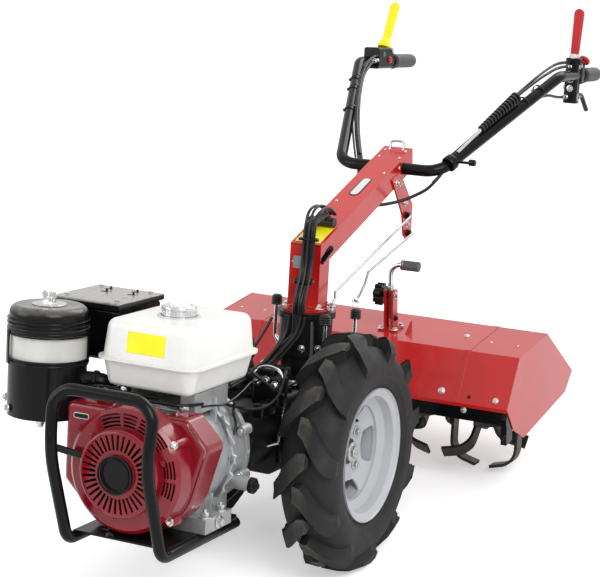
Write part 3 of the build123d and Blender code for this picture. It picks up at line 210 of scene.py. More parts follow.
def relief(tree, source, strength, distance, edge):
    sockets = {"Strength": strength, "Distance": distance, "Height": source}
    if edge:
        sockets["Normal"] = addNode(tree, "Bevel", {"Radius": edge}, samples=4)[0]
    return addNode(tree, "Bump", sockets)[0]


def dustAndSheenOn(tree, tone, dustAndSheen, amount):
    # a pale film where the surface looks up: dust at small amounts, and at large amounts a painted sky reflection on
    # the top faces
    split = addNode(tree, "SeparateXYZ", {0: addNode(tree, "NewGeometry", {})["Normal"]})
    lookUp = spread(tree, split["Z"], 0, amount, 0.35, 1)
    patches = spread(tree, noise(tree, 30, 5, 0.6), 0.35, 1, 0.35, 0.65)
    return mixed(tree, times(tree, lookUp, patches), tone, dustAndSheen)


def stainOn(tree, tone, stain, amount):
    return mixed(tree, spread(tree, noise(tree, 11, 7, 0.7), 0, amount, 0.5, 0.72), tone, stain)


def shade(colour, factor):
    return tuple(min(1, channel * factor) for channel in colour)


def lugWear(tree, tone, colour):
    # brown on the lugs' noses, by distance from the axle and from mid tyre
    place = addNode(tree, "TexCoord", {})["Object"]
    centred = addNode(tree, "Mapping", {"Vector": place, "Location": (0, -axle.y, -axle.z)})[0]
    flat = addNode(tree, "VectorMath", {0: centred, 1: (0, 1, 1)}, operation="MULTIPLY")[0]
    reach = addNode(tree, "VectorMath", {0: flat}, operation="LENGTH")["Value"]
    across = addNode(tree, "SeparateXYZ", {0: place})["X"]
    for operation, value in (("ABSOLUTE", 0), ("SUBTRACT", 0.19), ("ABSOLUTE", 0)):
        across = addNode(tree, "Math", {0: across, 1: value}, operation=operation)[0]
    worn = times(tree, spread(tree, reach, 0, 1, 0.2465, 0.2490),
                 spread(tree, noise(tree, 60, 5, 0.7), 0.25, 1, 0.35, 0.6))
    return mixed(tree, times(tree, worn, spread(tree, across, 1, 0, 0.007, 0.022)), tone, colour)


grounds = {
    # tone: noise and stops, gloss: noise and range of its share, relief: noise, depth and softened edge
    "paint": ((5, 5, 0.6), ((0.3, 0.9), (0.7, 1.06)), (28, 5, 0.6), (0.75, 1.5), (210, 2), 0.0006, 0.0012),
    "cast": ((22, 6, 0.6), ((0.3, 0.72), (0.72, 1.12)), (90, 4), (0.75, 1.35), (620, 4, 0.65), 0.0012, 0.0015),
    "bright": ((40, 5, 0.6), ((0.3, 0.82), (0.6, 1)), (60, 4), (0.6, 1.9), (300, 2), 0.0004, 0.0006),
    "moulded": ((14, 3), ((0.3, 0.88), (0.7, 1.1)), (50, 4), (0.8, 1.3), (900, 2), 0.0004, 0.0012),
    "tyre": ((16, 6, 0.65), ((0.28, 0.7), (0.58, 1.1), (0.85, 1.7)), (40, 4), (5 / 7, 8 / 7), (330, 6, 0.6),
             0.0012, 0),
}
finishes = {}  # the material slot and the material of each


def newFinish(name, slot, ground, colour, rough, grain, metallic=0, coat=0, specular=0.5, film=None):
    material = bpy.data.materials.new(name)
    material.use_nodes = True
    tree = material.node_tree
    toneNoise, stops, glossNoise, (least, most), grainNoise, depth, edge = grounds[ground]
    tone = ramp(tree, noise(tree, *toneNoise), [(spot, shade(colour, share)) for spot, share in stops])
    if film:
        cover, filmColour, *amount = film
        tone = cover(tree, tone, filmColour, *amount)
    feed(tree, tree.nodes["Principled BSDF"], {
        "Base Color": tone,
        "Roughness": spread(tree, noise(tree, *glossNoise), rough * least, rough * most),
        "Normal": relief(tree, noise(tree, *grainNoise), grain, depth, edge),
        "Metallic": metallic, "Coat Weight": coat, "Coat Roughness": 0.08, "Specular IOR Level": specular,
    })
    finishes[name] = (slot, material)


# pale colours laid on upward faces: dust, and where the amount is large a painted sky reflection
paintDustAndSheen = (0.30, 0.285, 0.27)
plasticDustAndSheen = (0.28, 0.26, 0.24)


def paint(name, slot, colour, rough, coat=0.2, peel=0.05, specular=0.4, dustAndSheen=0.05):
    newFinish(name, slot, "paint", colour, rough, peel, 0, coat, specular, (dustAndSheenOn, paintDustAndSheen, dustAndSheen))


def moulded(name, slot, colour, rough, grain=0.12, specular=0.4, dustAndSheen=0.03):
    newFinish(name, slot, "moulded", colour, rough, grain, 0, 0, specular, (dustAndSheenOn, plasticDustAndSheen, dustAndSheen))


def cast(name, slot, colour, metallic, rough, grain, stain, amount, specular=0.5):
    newFinish(name, slot, "cast", colour, rough, grain, metallic, 0, specular, (stainOn, stain, amount))


def bright(name, slot, colour, rough):
    newFinish(name, slot, "bright", colour, rough, 0.03, 1)


# the first finish of a slot dresses the slot's solids
paint("red", "red_paint", (0.48, 0.010, 0.009), 0.2, dustAndSheen=0.015)
paint("engineRed", "engine_red", (0.21, 0.0035, 0.011), 0.16, 0.2, dustAndSheen=0)
paint("white", "tank_white", (0.76, 0.755, 0.73), 0.3, 0.2, peel=0.012, dustAndSheen=0)
paint("blackGloss", "black_steel", (0.004, 0.004, 0.0044), 0.17, 0.03, specular=0.14, dustAndSheen=0.02)
paint("blackSatin", "black_steel", (0.006, 0.006, 0.0065), 0.26, 0.06, specular=0.2, dustAndSheen=0.03)
# its large film amount paints a pale sky reflection on the upward faces, with a little dust
paint("blackPressed", "black_steel", (0.005, 0.005, 0.0055), 0.2, 0.04, specular=0.3, dustAndSheen=1.9)
paint("silver", "rim_paint", (0.44, 0.45, 0.47), 0.35, 0.2, dustAndSheen=0.1)
cast("aluminium", "raw_aluminium", (0.50, 0.51, 0.52), 0.8, 0.4, 0.5, (0.06, 0.055, 0.05), 0.6)
cast("iron", "dark_casting", (0.007, 0.007, 0.0075), 0.1, 0.32, 0.3, (0.026, 0.023, 0.02), 0.3, 0.2)
bright("steel", "shaft_steel", (0.42, 0.42, 0.43), 0.26)
bright("zinc", "shaft_steel", (0.62, 0.62, 0.60), 0.22)
bright("chrome", "chrome", (0.72, 0.72, 0.73), 0.1)
cast("tineSteel", "tine_steel", (0.028, 0.025, 0.023), 0.5, 0.4, 0.3, (0.12, 0.10, 0.085), 0.6)
moulded("plastic", "black_plastic", (0.005, 0.005, 0.0055), 0.18, specular=0.2)
# its large film amount paints a pale sky reflection on the upward faces, with a little dust
moulded("blackMoulded", "black_plastic", (0.005, 0.005, 0.0055), 0.18, specular=0.22, dustAndSheen=0.7)
moulded("grip", "grip_grey", (0.075, 0.075, 0.08), 0.5)
moulded("milky", "clear_band", (0.60, 0.60, 0.56), 0.22)
moulded("yellow", "yellow_plastic", (0.90, 0.80, 0.012), 0.3)
moulded("redPlastic", "red_plastic", (0.42, 0.006, 0.010), 0.28)
moulded("greenPlastic", "black_plastic", (0.02, 0.22, 0.06), 0.3)
moulded("labelYellow", "yellow_plastic", (0.88, 0.78, 0.01), 0.3, 0.04, dustAndSheen=0)
moulded("labelGrey", "rim_paint", (0.24, 0.27, 0.30), 0.25, 0.04, dustAndSheen=0)
moulded("labelPale", "tank_white", (0.62, 0.62, 0.60), 0.25, 0.04, dustAndSheen=0)
moulded("rubber", "rubber", (0.008, 0.008, 0.0085), 0.35, specular=0.35)
newFinish("tyre", "tyre", "tyre", (0.016, 0.0155, 0.016), 0.7, 0.35, specular=0.3,
          film=(lugWear, (0.075, 0.068, 0.058)))

slotFinish = {"dark_iron": "iron"}
for finish, (slot, material) in finishes.items():
    slotFinish.setdefault(slot, finish)
nodeFinish = {"muffler_shield": "blackPressed", "air_cleaner_cap": "blackMoulded"}  # their tops are painted pale: a painted sky reflection, with a little dust
for part in frame["record"]["subparts"]:
    node = nodes[part["node"]]
    node.data.materials.clear()
    node.data.materials.append(finishes[nodeFinish.get(part["node"], slotFinish[part["material_slot"]])][1])
print("finishes set")


# shop tools for the added pieces
leanAngle = radians(8.5)  # the machine stands nose-up by this
lean = Matrix.Translation(axle) @ Matrix.Rotation(-leanAngle, 4, "X") @ Matrix.Scale(0.001, 4)  # machine millimetres
stand = Matrix.Translation((0, axle.y, 0)) @ Matrix.Scale(0.001, 4)  # millimetres above the floor
upward = (0, 0, 1)
downward = (0, 0, -1)
forward = (0, -1, 0)
rearward = (0, 1, 0)
toRight = (1, 0, 0)
toLeft = (-1, 0, 0)
crankHeight = 55  # of the engine's shaft over the axle


def join(shape, part, place):
    part.transform(place)
    mesh = bpy.data.meshes.new("part")
    part.to_mesh(mesh)
    part.free()
    shape.from_mesh(mesh)
    bpy.data.meshes.remove(mesh)


def facing(spot=(0, 0, 0), direction=None, roll=0, shift=(0, 0, 0)):
    if isinstance(spot, Matrix):
        return spot
    if direction is None:
        return Matrix.Translation(spot)
    turn = Vector(direction).to_track_quat("Z", "Y").to_matrix().to_4x4()
    return Matrix.Translation(spot) @ turn @ Matrix.Rotation(radians(roll), 4, "Z") @ Matrix.Translation(shift)


def addPiece(name, finish, parts, body="chassis", place=lean, sharp=35):
    # each part is a shape, and then what facing() takes to place it
    shape = bmesh.new()
    for part, *where in parts:
        join(shape, part, facing(*where))
    slot, material = finishes[finish]
    piece = newPiece(name, shape, material, place)
    piece.data.shade_smooth()
    piece.data.set_sharp_from_angle(angle=radians(sharp))
    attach(piece, body)
    return piece


def lathe(profile, steps):
    shape = bmesh.new()
    line = [shape.verts.new((radius, 0, height)) for radius, height in profile]
    runs = [shape.edges.new(pair) for pair in zip(line, line[1:])]
    bmesh.ops.spin(shape, geom=line + runs, cent=(0, 0, 0), axis=(0, 0, 1), dvec=(0, 0, 0), angle=tau,
                   steps=steps, use_merge=True, use_duplicate=False)
    bmesh.ops.remove_doubles(shape, verts=shape.verts, dist=0.001)
    bmesh.ops.recalc_face_normals(shape, faces=shape.faces)
    return shape


def disc(radius, height, soften, steps):
    return lathe(((0, 0), (radius, 0), (radius, height - soften), (radius - 0.3 * soften, height - 0.3 * soften),
                  (radius - soften, height), (0, height)), steps)


def bevel(shape, edges, offset, segments, clamp=False):
    bmesh.ops.bevel(shape, geom=edges, offset=offset, offset_type="OFFSET", segments=segments, profile=0.5,
                    affect="EDGES", material=-1, clamp_overlap=clamp)


def span(edge, axis):
    return abs(edge.verts[0].co[axis] - edge.verts[1].co[axis])


def above(shape, height):
    return [edge for edge in shape.edges if min(spot.co.z for spot in edge.verts) > height]


def box(width, length, height):
    shape = bmesh.new()
    bmesh.ops.create_cube(shape, size=1, matrix=Matrix.Diagonal((width, length, height, 1)))
    return shape


def slab(width, length, height, soften=0.8, segments=2):
    shape = box(width, length, height)
    bevel(shape, shape.edges[:], soften, segments)
    return shape


def roundedPlate(width, length, thick, corner):
    shape = box(width, length, thick)
    sides = [edge for edge in shape.edges if span(edge, 2) > 0.5 * thick]
    bevel(shape, sides, corner, 8)
    bevel(shape, above(shape, 0.4 * thick), 0.3 * thick, 1)
    return shape


def bolt(across, height, washer=0, stub=0):
    head = bmesh.new()
    bmesh.ops.create_cone(head, cap_ends=True, segments=6, radius1=0.577 * across, radius2=0.577 * across,
                          depth=height, matrix=Matrix.Translation((0, 0, washer + height / 2)))
    bevel(head, above(head, washer + 0.9 * height), 0.14 * height, 1)
    if washer:
        join(head, disc(0.95 * across, washer, 0.4, 20), Matrix())
    if stub:
        join(head, disc(0.3 * across, washer + height + stub, 0.5, 12), Matrix())
    return head


def domeHead(radius, height):
    return lathe(((0, 0), (radius, 0), (radius, 0.25 * height), (0.8 * radius, 0.72 * height),
                  (0.45 * radius, 0.94 * height), (0, height)), 18)


def pipe(points, radius, fine=6):
    curve = bpy.data.curves.new("run", "CURVE")
    curve.dimensions = "3D"
    curve.bevel_depth = radius
    curve.bevel_resolution = 3
    curve.resolution_u = fine
    curve.use_fill_caps = True
    run = curve.splines.new("NURBS")
    run.points.add(len(points) - 1)
    for knot, spot in zip(run.points, points):
        knot.co = (*spot, 1)
    run.order_u = 3
    run.use_endpoint_u = True
    carrier = bpy.data.objects.new("run", curve)
    mesh = bpy.data.meshes.new_from_object(carrier)
    shape = bmesh.new()
    shape.from_mesh(mesh)
    bpy.data.objects.remove(carrier)
    bpy.data.curves.remove(curve)
    bpy.data.meshes.remove(mesh)
    return shape


def built(maker, rows):
    # each row is what the maker takes, and then what facing() takes
    return [(maker(*sizes), *where) for sizes, *where in rows]


def pipes(rows):
    return [(pipe(points, radius),) for radius, points in rows]


def mirrored(spot, side):
    x, y, z = spot
    return (side * x, y, z)


def coil(start, pitch, turn, radius, count):
    x, y, z = start
    return [(x + pitch * step, y + radius * cos(turn * step), z + radius * sin(turn * step))
            for step in range(count)]


def around(count, radius, phase=0.5):
    # each copy's number, its angle in radians and its place across and up
    turns = [tau * (number + phase) / count for number in range(count)]
    return [(number, turn, radius * cos(turn), radius * sin(turn)) for number, turn in enumerate(turns)]


def aroundCrank(radius, degrees, y):
    turn = radians(degrees)
    return (radius * cos(turn), y, crankHeight + radius * sin(turn))


# tyres with moulded lugs
tyreSetup = {
    "centre": 190,
    "steps": 120,
    "sharp": 42,
    "lugCount": 11,
    "phase": 10.6,  # degrees from the top to the first lug
    "reach": 238,  # the radius at which the lugs' run is measured
    "soften": 5,
    "section": (
        # distance from the middle plane, radius
        (33.7, 127.4), (46.5, 127.4), (50.4, 141), (51.4, 146.5), (54.2, 148.5), (54.6, 151.5), (57.2, 154),
        (60.6, 163), (61.6, 163.6), (62.1, 166.4), (63.4, 172), (64, 182), (63.2, 192), (60.5, 201), (55, 209.5),
        (46.5, 216.5), (36, 221.5), (22, 224.6), (8, 226),
    ),
    "inside": ((205, -33), (212, 0), (205, 33)),
    "lug": (
        # distance from the middle plane at top and foot, radius at top and foot, run, width at top and foot
        (-15, -18, 244.5, 219, -39, 15, 26),
        (-9.5, -11, 248.2, 219, -39, 30, 42),
        (3, 3, 249, 219, -33, 37, 50),
        (18, 18, 249, 218, -17, 41, 54),
        (33, 32, 248.6, 214, 3, 41, 52),
        (44, 40, 246.5, 207, 17, 40, 51),
        (54, 46, 240.5, 200, 28, 38, 48),
        (61.5, 51, 230, 192, 35, 35, 43),
        (65.5, 57, 216, 184, 38, 31, 38),
        (64.8, 60, 204, 180, 39, 27, 32),
    ),
}


def lugShape(setup, side):
    stations = setup["lug"]
    lug = box(1, 1, 1)
    long = [edge for edge in lug.edges if span(edge, 0) > 0.5]
    bmesh.ops.subdivide_edges(lug, edges=long, cuts=len(stations) - 2, use_grid_fill=True)
    crown = [edge for edge in above(lug, 0.4) if span(edge, 0) > 0.01 or abs(edge.verts[0].co.x) > 0.49]
    ends = [edge for edge in lug.edges if span(edge, 2) > 0.5 and abs(edge.verts[0].co.x) > 0.49]
    for spot in lug.verts:
        station = stations[round((spot.co.x + 0.5) * (len(stations) - 1))]
        topX, footX, topRadius, footRadius, run, topWidth, footWidth = station
        top = spot.co.z > 0
        angle = (run + spot.co.y * (topWidth if top else footWidth)) / setup["reach"]
        radius = topRadius if top else footRadius
        spot.co = (topX if top else footX, -radius * sin(angle), radius * cos(angle))
    bevel(lug, crown + ends, setup["soften"], 3, True)
    lug.transform(Matrix.Scale(side, 4, (1, 0, 0)))
    bmesh.ops.recalc_face_normals(lug, faces=lug.faces)
    return lug


def makeTyre(name, side, setup):
    half = [(radius, across) for across, radius in setup["section"]]
    ring = half + [(radius, -across) for radius, across in reversed(half)] + list(setup["inside"])
    parts = [(lathe(ring + ring[:1], setup["steps"]), Matrix.Rotation(radians(90), 4, "Y"))]
    phase = radians(setup["phase"])
    for number, turn, across, high in around(setup["lugCount"], 1, 0):
        for row, rowSide in enumerate((1, -1)):
            angle = phase + turn + pi * row / setup["lugCount"]
            parts.append((lugShape(setup, rowSide), Matrix.Rotation(angle, 4, "X")))
    place = lean @ Matrix.Translation((side * setup["centre"], 0, 0))
    tyre = addPiece("tyreMoulded." + name, "tyre", parts, "wheel_" + name, place, setup["sharp"])
    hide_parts("tyre_" + name)


for name, side in (("left", 1), ("right", -1)):
    makeTyre(name, side, tyreSetup)
print("tyres made")

# wheel fittings
wheelSetup = {
    "face": 186.8,  # outer face of the wheel disc
    "boltCircle": 50,
    "boltCount": 4,
    "boltTurn": 12,
    "nutFace": 196.3,
    "valve": (196, 112, 20),  # distance out, radius, degrees
    "stem": ((0, -6), (7, -6), (6.4, -2), (4.2, 3), (3.6, 16), (2.6, 17), (2.6, 19), (3.4, 19.5), (3.4, 27),
             (2.6, 28), (0, 28)),
}


def makeWheelFittings(name, side, setup):
    body = "wheel_" + name
    outward = (side, 0, 0)
    addPiece("wheelBolts." + name, "zinc", [
        (bolt(13, 7.5, 2, 2), (side * setup["face"], high, across), outward, setup["boltTurn"] * number)
        for number, turn, across, high in around(setup["boltCount"], setup["boltCircle"])], body)
    out, radius, degrees = setup["valve"]
    turn = radians(degrees)
    spot = (side * out, -radius * sin(turn), radius * cos(turn) * 0.8)
    addPiece("valveStem." + name, "rubber", [(lathe(setup["stem"], 16), spot, (side, 0, -0.25))], body)
    addPiece("axleNut." + name, "zinc", [(bolt(22, 7, 2, 2), (side * setup["nutFace"], 0, 0), outward)], body)


for name, side in (("left", 1), ("right", -1)):
    makeWheelFittings(name, side, wheelSetup)
print("wheel fittings made")

# engine: bolts, plates and castings round the fan cover
engineSetup = {
    "coverFace": -553,
    "coverBolts": ((121, 33, -590), (124, 316, -572), (124, 250, -566)),  # radius, degrees, front of the boss
    "recoilBolts": (89, -600, (20, 140, 260)),  # radius, front, degrees
    "badgeRings": ((37, 34.5, 3.4), (31, 30, 3)),  # outer and inner radius, height
    "badgeFront": 2.6,
    "emblem": ((-124, -552.6, 134), (32, 9, 1.2)),
    "rib": (7, 96, 12, 1.6),
    "ribPlace": (109, -385),  # radius, y
    "crossRib": (92, 6, 14, 1.5),
    "crossPlace": (78, -402),  # distance out, y
    "web": (4, 9, 5, 1),
    "ribAngles": (-56, -38, -20, 18, 36, 54),
    "ribHeights": (-20, 30, 80, 128),
    "webs": (118, -324, 15, (200, 340)),  # radius, y, count, the degrees between which there are none
    "footBolts": ((104, -466), (104, -404), (-104, -466), (-104, -404)),
    "footTop": -45,
    "bossBolts": (118, 8, -317.8, -344.6, -63),  # radius, count, rear and front faces, least height
    "drain": (119, -436, -58),
    "plug": (140.2, -352, -2),
    "plugCap": ((0, 0), (15.5, 0), (15.5, 9), (13.5, 11), (7, 11), (6, 17), (0, 17)),
    "plugWings": (8, 15, 4.4),  # count, radius, distance out
}


def makeEngineFittings(setup):
    bosses, bolts = [], []
    for radius, degrees, tip in setup["coverBolts"]:
        high = setup["coverFace"] - tip
        boss = ((0, -4), (12.5, -4), (11.5, 8), (9.5, high - 1), (8.5, high), (0, high))
        bosses.append((lathe(boss, 20), aroundCrank(radius, degrees, setup["coverFace"]), forward))
        bolts.append((bolt(8.5, 5.5, 1.4), aroundCrank(radius, degrees, tip), forward, degrees))
    radius, tip, turns = setup["recoilBolts"]
    bosses += [(bolt(7, 4, 1.4), aroundCrank(radius, degrees, tip), forward, degrees) for degrees in turns]
    addPiece("coverBosses", "engineRed", bosses)
    addPiece("coverBolts", "zinc", bolts)

    low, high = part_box("recoil_badge")
    badge = (lean.inverted() @ Vector((0, low.y, (low.z + high.z) / 2))).y + setup["badgeFront"]
    addPiece("badgeRings", "blackSatin", [
        (lathe(((inner, 0), (inner, height), (inner + 0.5, height + 0.4), (outer - 0.5, height + 0.4),
                (outer, height), (outer, 0), (inner, 0)), 48), (0, badge, crankHeight), forward)
        for outer, inner, height in setup["badgeRings"]])
    spot, (width, length, thick) = setup["emblem"]
    border = roundedPlate(width + 2.2, length + 2.2, thick - 0.3, 5)
    addPiece("emblemFrame", "labelPale", [(border, spot, forward)])
    addPiece("emblemPlate", "blackSatin", [(roundedPlate(width, length, thick, 4.2), spot, forward)])

    ribs = []
    radius, y = setup["ribPlace"]
    out, along = setup["crossPlace"]
    for side in (1, -1):
        for degrees in setup["ribAngles"]:
            turn = degrees if side > 0 else 180 - degrees
            outward = (cos(radians(turn)), 0, sin(radians(turn)))
            ribs.append((slab(*setup["rib"]), aroundCrank(radius, turn, y), outward))
        ribs += [(slab(*setup["crossRib"]), (side * out, along, z), (side, 0, 0), 90) for z in setup["ribHeights"]]
    radius, y, count, (first, last) = setup["webs"]
    for number, turn, across, high in around(count, 1, 0):
        degrees = 360 * number / count
        if not first < degrees < last:
            ribs.append((slab(*setup["web"]), aroundCrank(radius, degrees, y), (across, 0, high)))
    addPiece("caseRibs", "aluminium", ribs)

    bolts = [(bolt(14, 8, 2.4, 6), (x, y, setup["footTop"]), upward, x) for x, y in setup["footBolts"]]
    radius, count, rear, tip, least = setup["bossBolts"]
    for number in range(count):
        degrees = (number + 0.5) * 360 / count
        spot = aroundCrank(radius, degrees, rear)
        if spot[2] > least:
            bolts += [(bolt(12, 7, 1.6), spot, rearward, degrees),
                      (bolt(10, 5, 1.2), (spot[0], tip, spot[2]), forward, degrees)]
    addPiece("caseBolts", "zinc", bolts + [(bolt(14, 8, 2), setup["drain"], toRight)])

    x, y, z = setup["plug"]
    count, radius, out = setup["plugWings"]
    addPiece("oilPlug", "plastic", [(lathe(setup["plugCap"], 24), setup["plug"], toRight)] + [
        (slab(3, 4, 9, 0.7), (x + out, y + across, z + high), toRight, inDegrees(turn))
        for number, turn, across, high in around(count, radius, 0)])
    print("engine fittings made")


makeEngineFittings(engineSetup)

# governor rods, wires and hoses round the engine
tangleSetup = {
    "wires": (
        # radius, points
        (3.2, ((64.2, -352, 156.3), (73.5, -348, 149.4), (86.2, -335, 143.5), (99.1, -290, 129.9),
               (117.3, -250, 130.2), (121.4, -205, 148.1), (113.3, -175, 172.5), (105.7, -150, 185.2))),
        (2.8, ((86.8, -332, 152.3), (80.7, -330, 134.6), (98.7, -345, 115.3), (102.3, -355, 95.3),
               (95.5, -362, 88.2))),
        (2.4, ((88, -338, 146), (96, -310, 138), (92, -276, 122), (84, -250, 112))),
        (3, ((60, -230, 196), (96, -222, 172), (114, -196, 148), (108, -160, 136), (84, -120, 142), (40, -84, 150),
             (20, -40, 160))),
        (2.2, ((88, -470, 168), (104, -462, 172), (114, -430, 168), (112, -380, 172), (104, -330, 178),
               (96, -282, 186), (84, -240, 176), (70, -180, 170))),
        (3.2, ((-70, -500, 168), (-40, -512, 172), (0, -514, 174), (40, -508, 172), (70, -490, 170),
               (86, -460, 172))),
        (4, ((-76, -470, 186), (-100, -472, 176), (-116, -468, 160), (-120, -462, 146))),
    ),
    "rods": (
        (1.6, ((-112, -486, 152), (-60, -496, 158), (10, -498, 160), (64, -492, 158))),
        (1.3, ((-110, -490, 146), (-50, -500, 150), (30, -500, 151), (60, -494, 149))),
    ),
    "spring": ((-40, -506, 152), 1.6, 1.6, 4, 34),  # start, pitch, turn, radius, points
    "bail": ((39.7, -160, 172), (44.9, -160, 185.9), (67.5, -160, 193.1), (90.5, -160, 189.9), (101, -160, 181),
             (105.7, -160, 170)),
    "levers": ((3, ((98, -128, 122), (99.1, -150, 56), (94.7, -150, 34.3))),
               (3.4, ((72.3, -150, 24), (90.5, -150, 32.2), (98, -150, 34)))),
    "rodPlates": (((10, 3, 46, 1), (68, -492, 142), upward), ((26, 3, 16, 1), (60, -492, 162), upward)),
    "rodBolts": (((10, 6, 1.5), (68, -493.5, 128), forward), ((8, 5, 1.5), (60, -493.5, 164), forward)),
    "boxes": (((66, 40, 62, 7, 3), (72, -152, 142)), ((40, 30, 18, 4, 3), (66, -150, 178)),
              ((24, 60, 30, 5, 3), (84, -196, 112))),
    "boxFront": -172.2,
    "boxBolts": ((52, 160), (72, 166), (92, 158)),
}


def makeTangle(setup):
    addPiece("engineWires", "plastic", pipes(setup["wires"]))
    addPiece("governorRods", "zinc", pipes(setup["rods"]) + [(pipe(coil(*setup["spring"]), 0.8, 2),)]
             + built(slab, setup["rodPlates"]) + built(bolt, setup["rodBolts"]))
    addPiece("clampRing", "chrome", [(pipe(setup["bail"], 3, 8),)] + pipes(setup["levers"]) + [
        (bolt(9, 5, 1.4), (x, setup["boxFront"], z), forward, x) for x, z in setup["boxBolts"]])
    addPiece("cableBox", "plastic", built(slab, setup["boxes"]))
    print("wires made")


makeTangle(tangleSetup)

# fuel tank cap, cap ring and label
tankSetup = {
    "cap": (-8, -400),
    "capRecess": 5,
    "knurls": (36, 33.9),  # count, radius
    "knurl": (3, 2.4, 12, 0.9, 1),
    "wing": (44, 10, 9, 3, 3),
    "lid": ((0, 0), (25, 0), (24, 1.8), (19, 2.2), (17, 1.2), (0, 1)),
    "ring": ((36, 0), (42, 0), (41, 2.6), (37, 3), (36, 2), (36, 0)),
    "ringHeight": 319.6,
    "label": ((-12, -517.8, 281), (82, 40, 0.8)),
    "tilt": 7,  # the front face leans back by this
    "tiltFoot": 250,
}


def makeTankFittings(setup):
    x, y = setup["cap"]
    low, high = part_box("fuel_cap")
    top = (lean.inverted() @ Vector((0, (low.y + high.y) / 2, high.z))).z - setup["capRecess"]
    addPiece("capKnurls", "chrome", [
        (slab(*setup["knurl"]), (x + across, y + along, top - 10), upward, inDegrees(turn))
        for number, turn, across, along in around(*setup["knurls"], 0)
    ] + [(lathe(setup["lid"], 40), (x, y, top - 0.4), upward), (slab(*setup["wing"]), (x, y, top + 2), upward, 35)])
    addPiece("capRing", "milky", [(lathe(setup["ring"], 48), (x, y, setup["ringHeight"]), upward)])
    (x, y, z), size = setup["label"]
    slope = tan(radians(setup["tilt"]))
    place = ((x, y + slope * (z - setup["tiltFoot"]), z), (0, -1, slope))
    addPiece("tankLabel", "labelYellow", [(slab(*size, 0.25, 1), *place)])
    print("tank fittings made")


makeTankFittings(tankSetup)

# air cleaner and muffler fittings
cleanerSetup = {
    "centre": (-230.6, -512),
    "radius": 79,
    "ridges": (222, 229.5, 276.5, 284, 296, 304),
    "clips": (232, 52),  # degrees
    "capTop": 330,
    "washer": ((0, 0), (33, 0), (33.5, 1.2), (30, 3.2), (12, 4.2), (0, 4.4)),
    "wing": ((0, -1.6), (6, -1.6), (7, 0), (6, 1.6), (0, 1.6)),
    "spout": ((0, 0), (24, 0), (23, 5), (14, 9), (9, 11), (8, 20), (0, 20)),
    "bolts": (((14, 7, 1), (-230.6, -512, 334), upward, 20), ((9, 5, 1.6), (-275.6, -577.2, 131), (-0.57, -0.82, 0)),
              ((9, 5, 1.6), (-304.2, -541.8, 142), (-0.93, -0.37, 0)), ((10, 6), (-236.6, -522, 94), downward)),
    "tabs": ((-236, -290), (-176, -286), (-226, -322), (-166, -318)),
    "tabTop": 330.2,
    "tabTurn": 14,
    "screws": ((-262, -276), (-146, -276), (-262, -404), (-146, -404)),
    "screwTop": 329,
}


def makeCleanerFittings(setup):
    x, y = setup["centre"]
    radius = setup["radius"]
    ridge = ((radius - 2, -1.4), (radius + 0.8, -1.2), (radius + 1.2, 0), (radius + 0.8, 1.2), (radius - 2, 1.4),
             (radius - 2, -1.4))
    ridges = [(lathe(ridge, 64), (x, y, height), upward) for height in setup["ridges"]]
    for degrees in setup["clips"]:
        turn = radians(degrees)
        spot = (x + (radius + 1) * cos(turn), y + (radius + 1) * sin(turn), 250)
        ridges.append((slab(14, 3, 64, 1), spot, upward, degrees + 90))
    addPiece("cleanerRidges", "plastic", ridges)
    top = setup["capTop"]
    addPiece("cleanerFittings", "zinc", [
        (lathe(setup["washer"], 40), (x, y, top + 0.1), upward),
        (disc(4, 26, 0.8, 14), (x, y, top), upward),
        (lathe(setup["wing"], 18), (x + 11, y, top + 19), rearward),
        (lathe(setup["wing"], 18), (x - 11, y, top + 19), rearward),
        (lathe(setup["spout"], 28), (x - 6, y - 10, 114), downward),
    ] + built(bolt, setup["bolts"]))
    tabs = []
    for x, y in setup["tabs"]:
        tabs += [(slab(16, 8, 3), (x, y, setup["tabTop"]), upward, setup["tabTurn"]),
                 (slab(4, 3, 8, 0.6), (x + 5, y, setup["tabTop"] + 2.8), upward, setup["tabTurn"])]
    addPiece("shieldTabs", "blackSatin", tabs)
    height = setup["screwTop"]
    addPiece("shieldScrews", "zinc", [(bolt(9, 5, 1.4), (x, y, height), upward, x) for x, y in setup["screws"]])
    print("cleaner and muffler fittings made")


makeCleanerFittings(cleanerSetup)

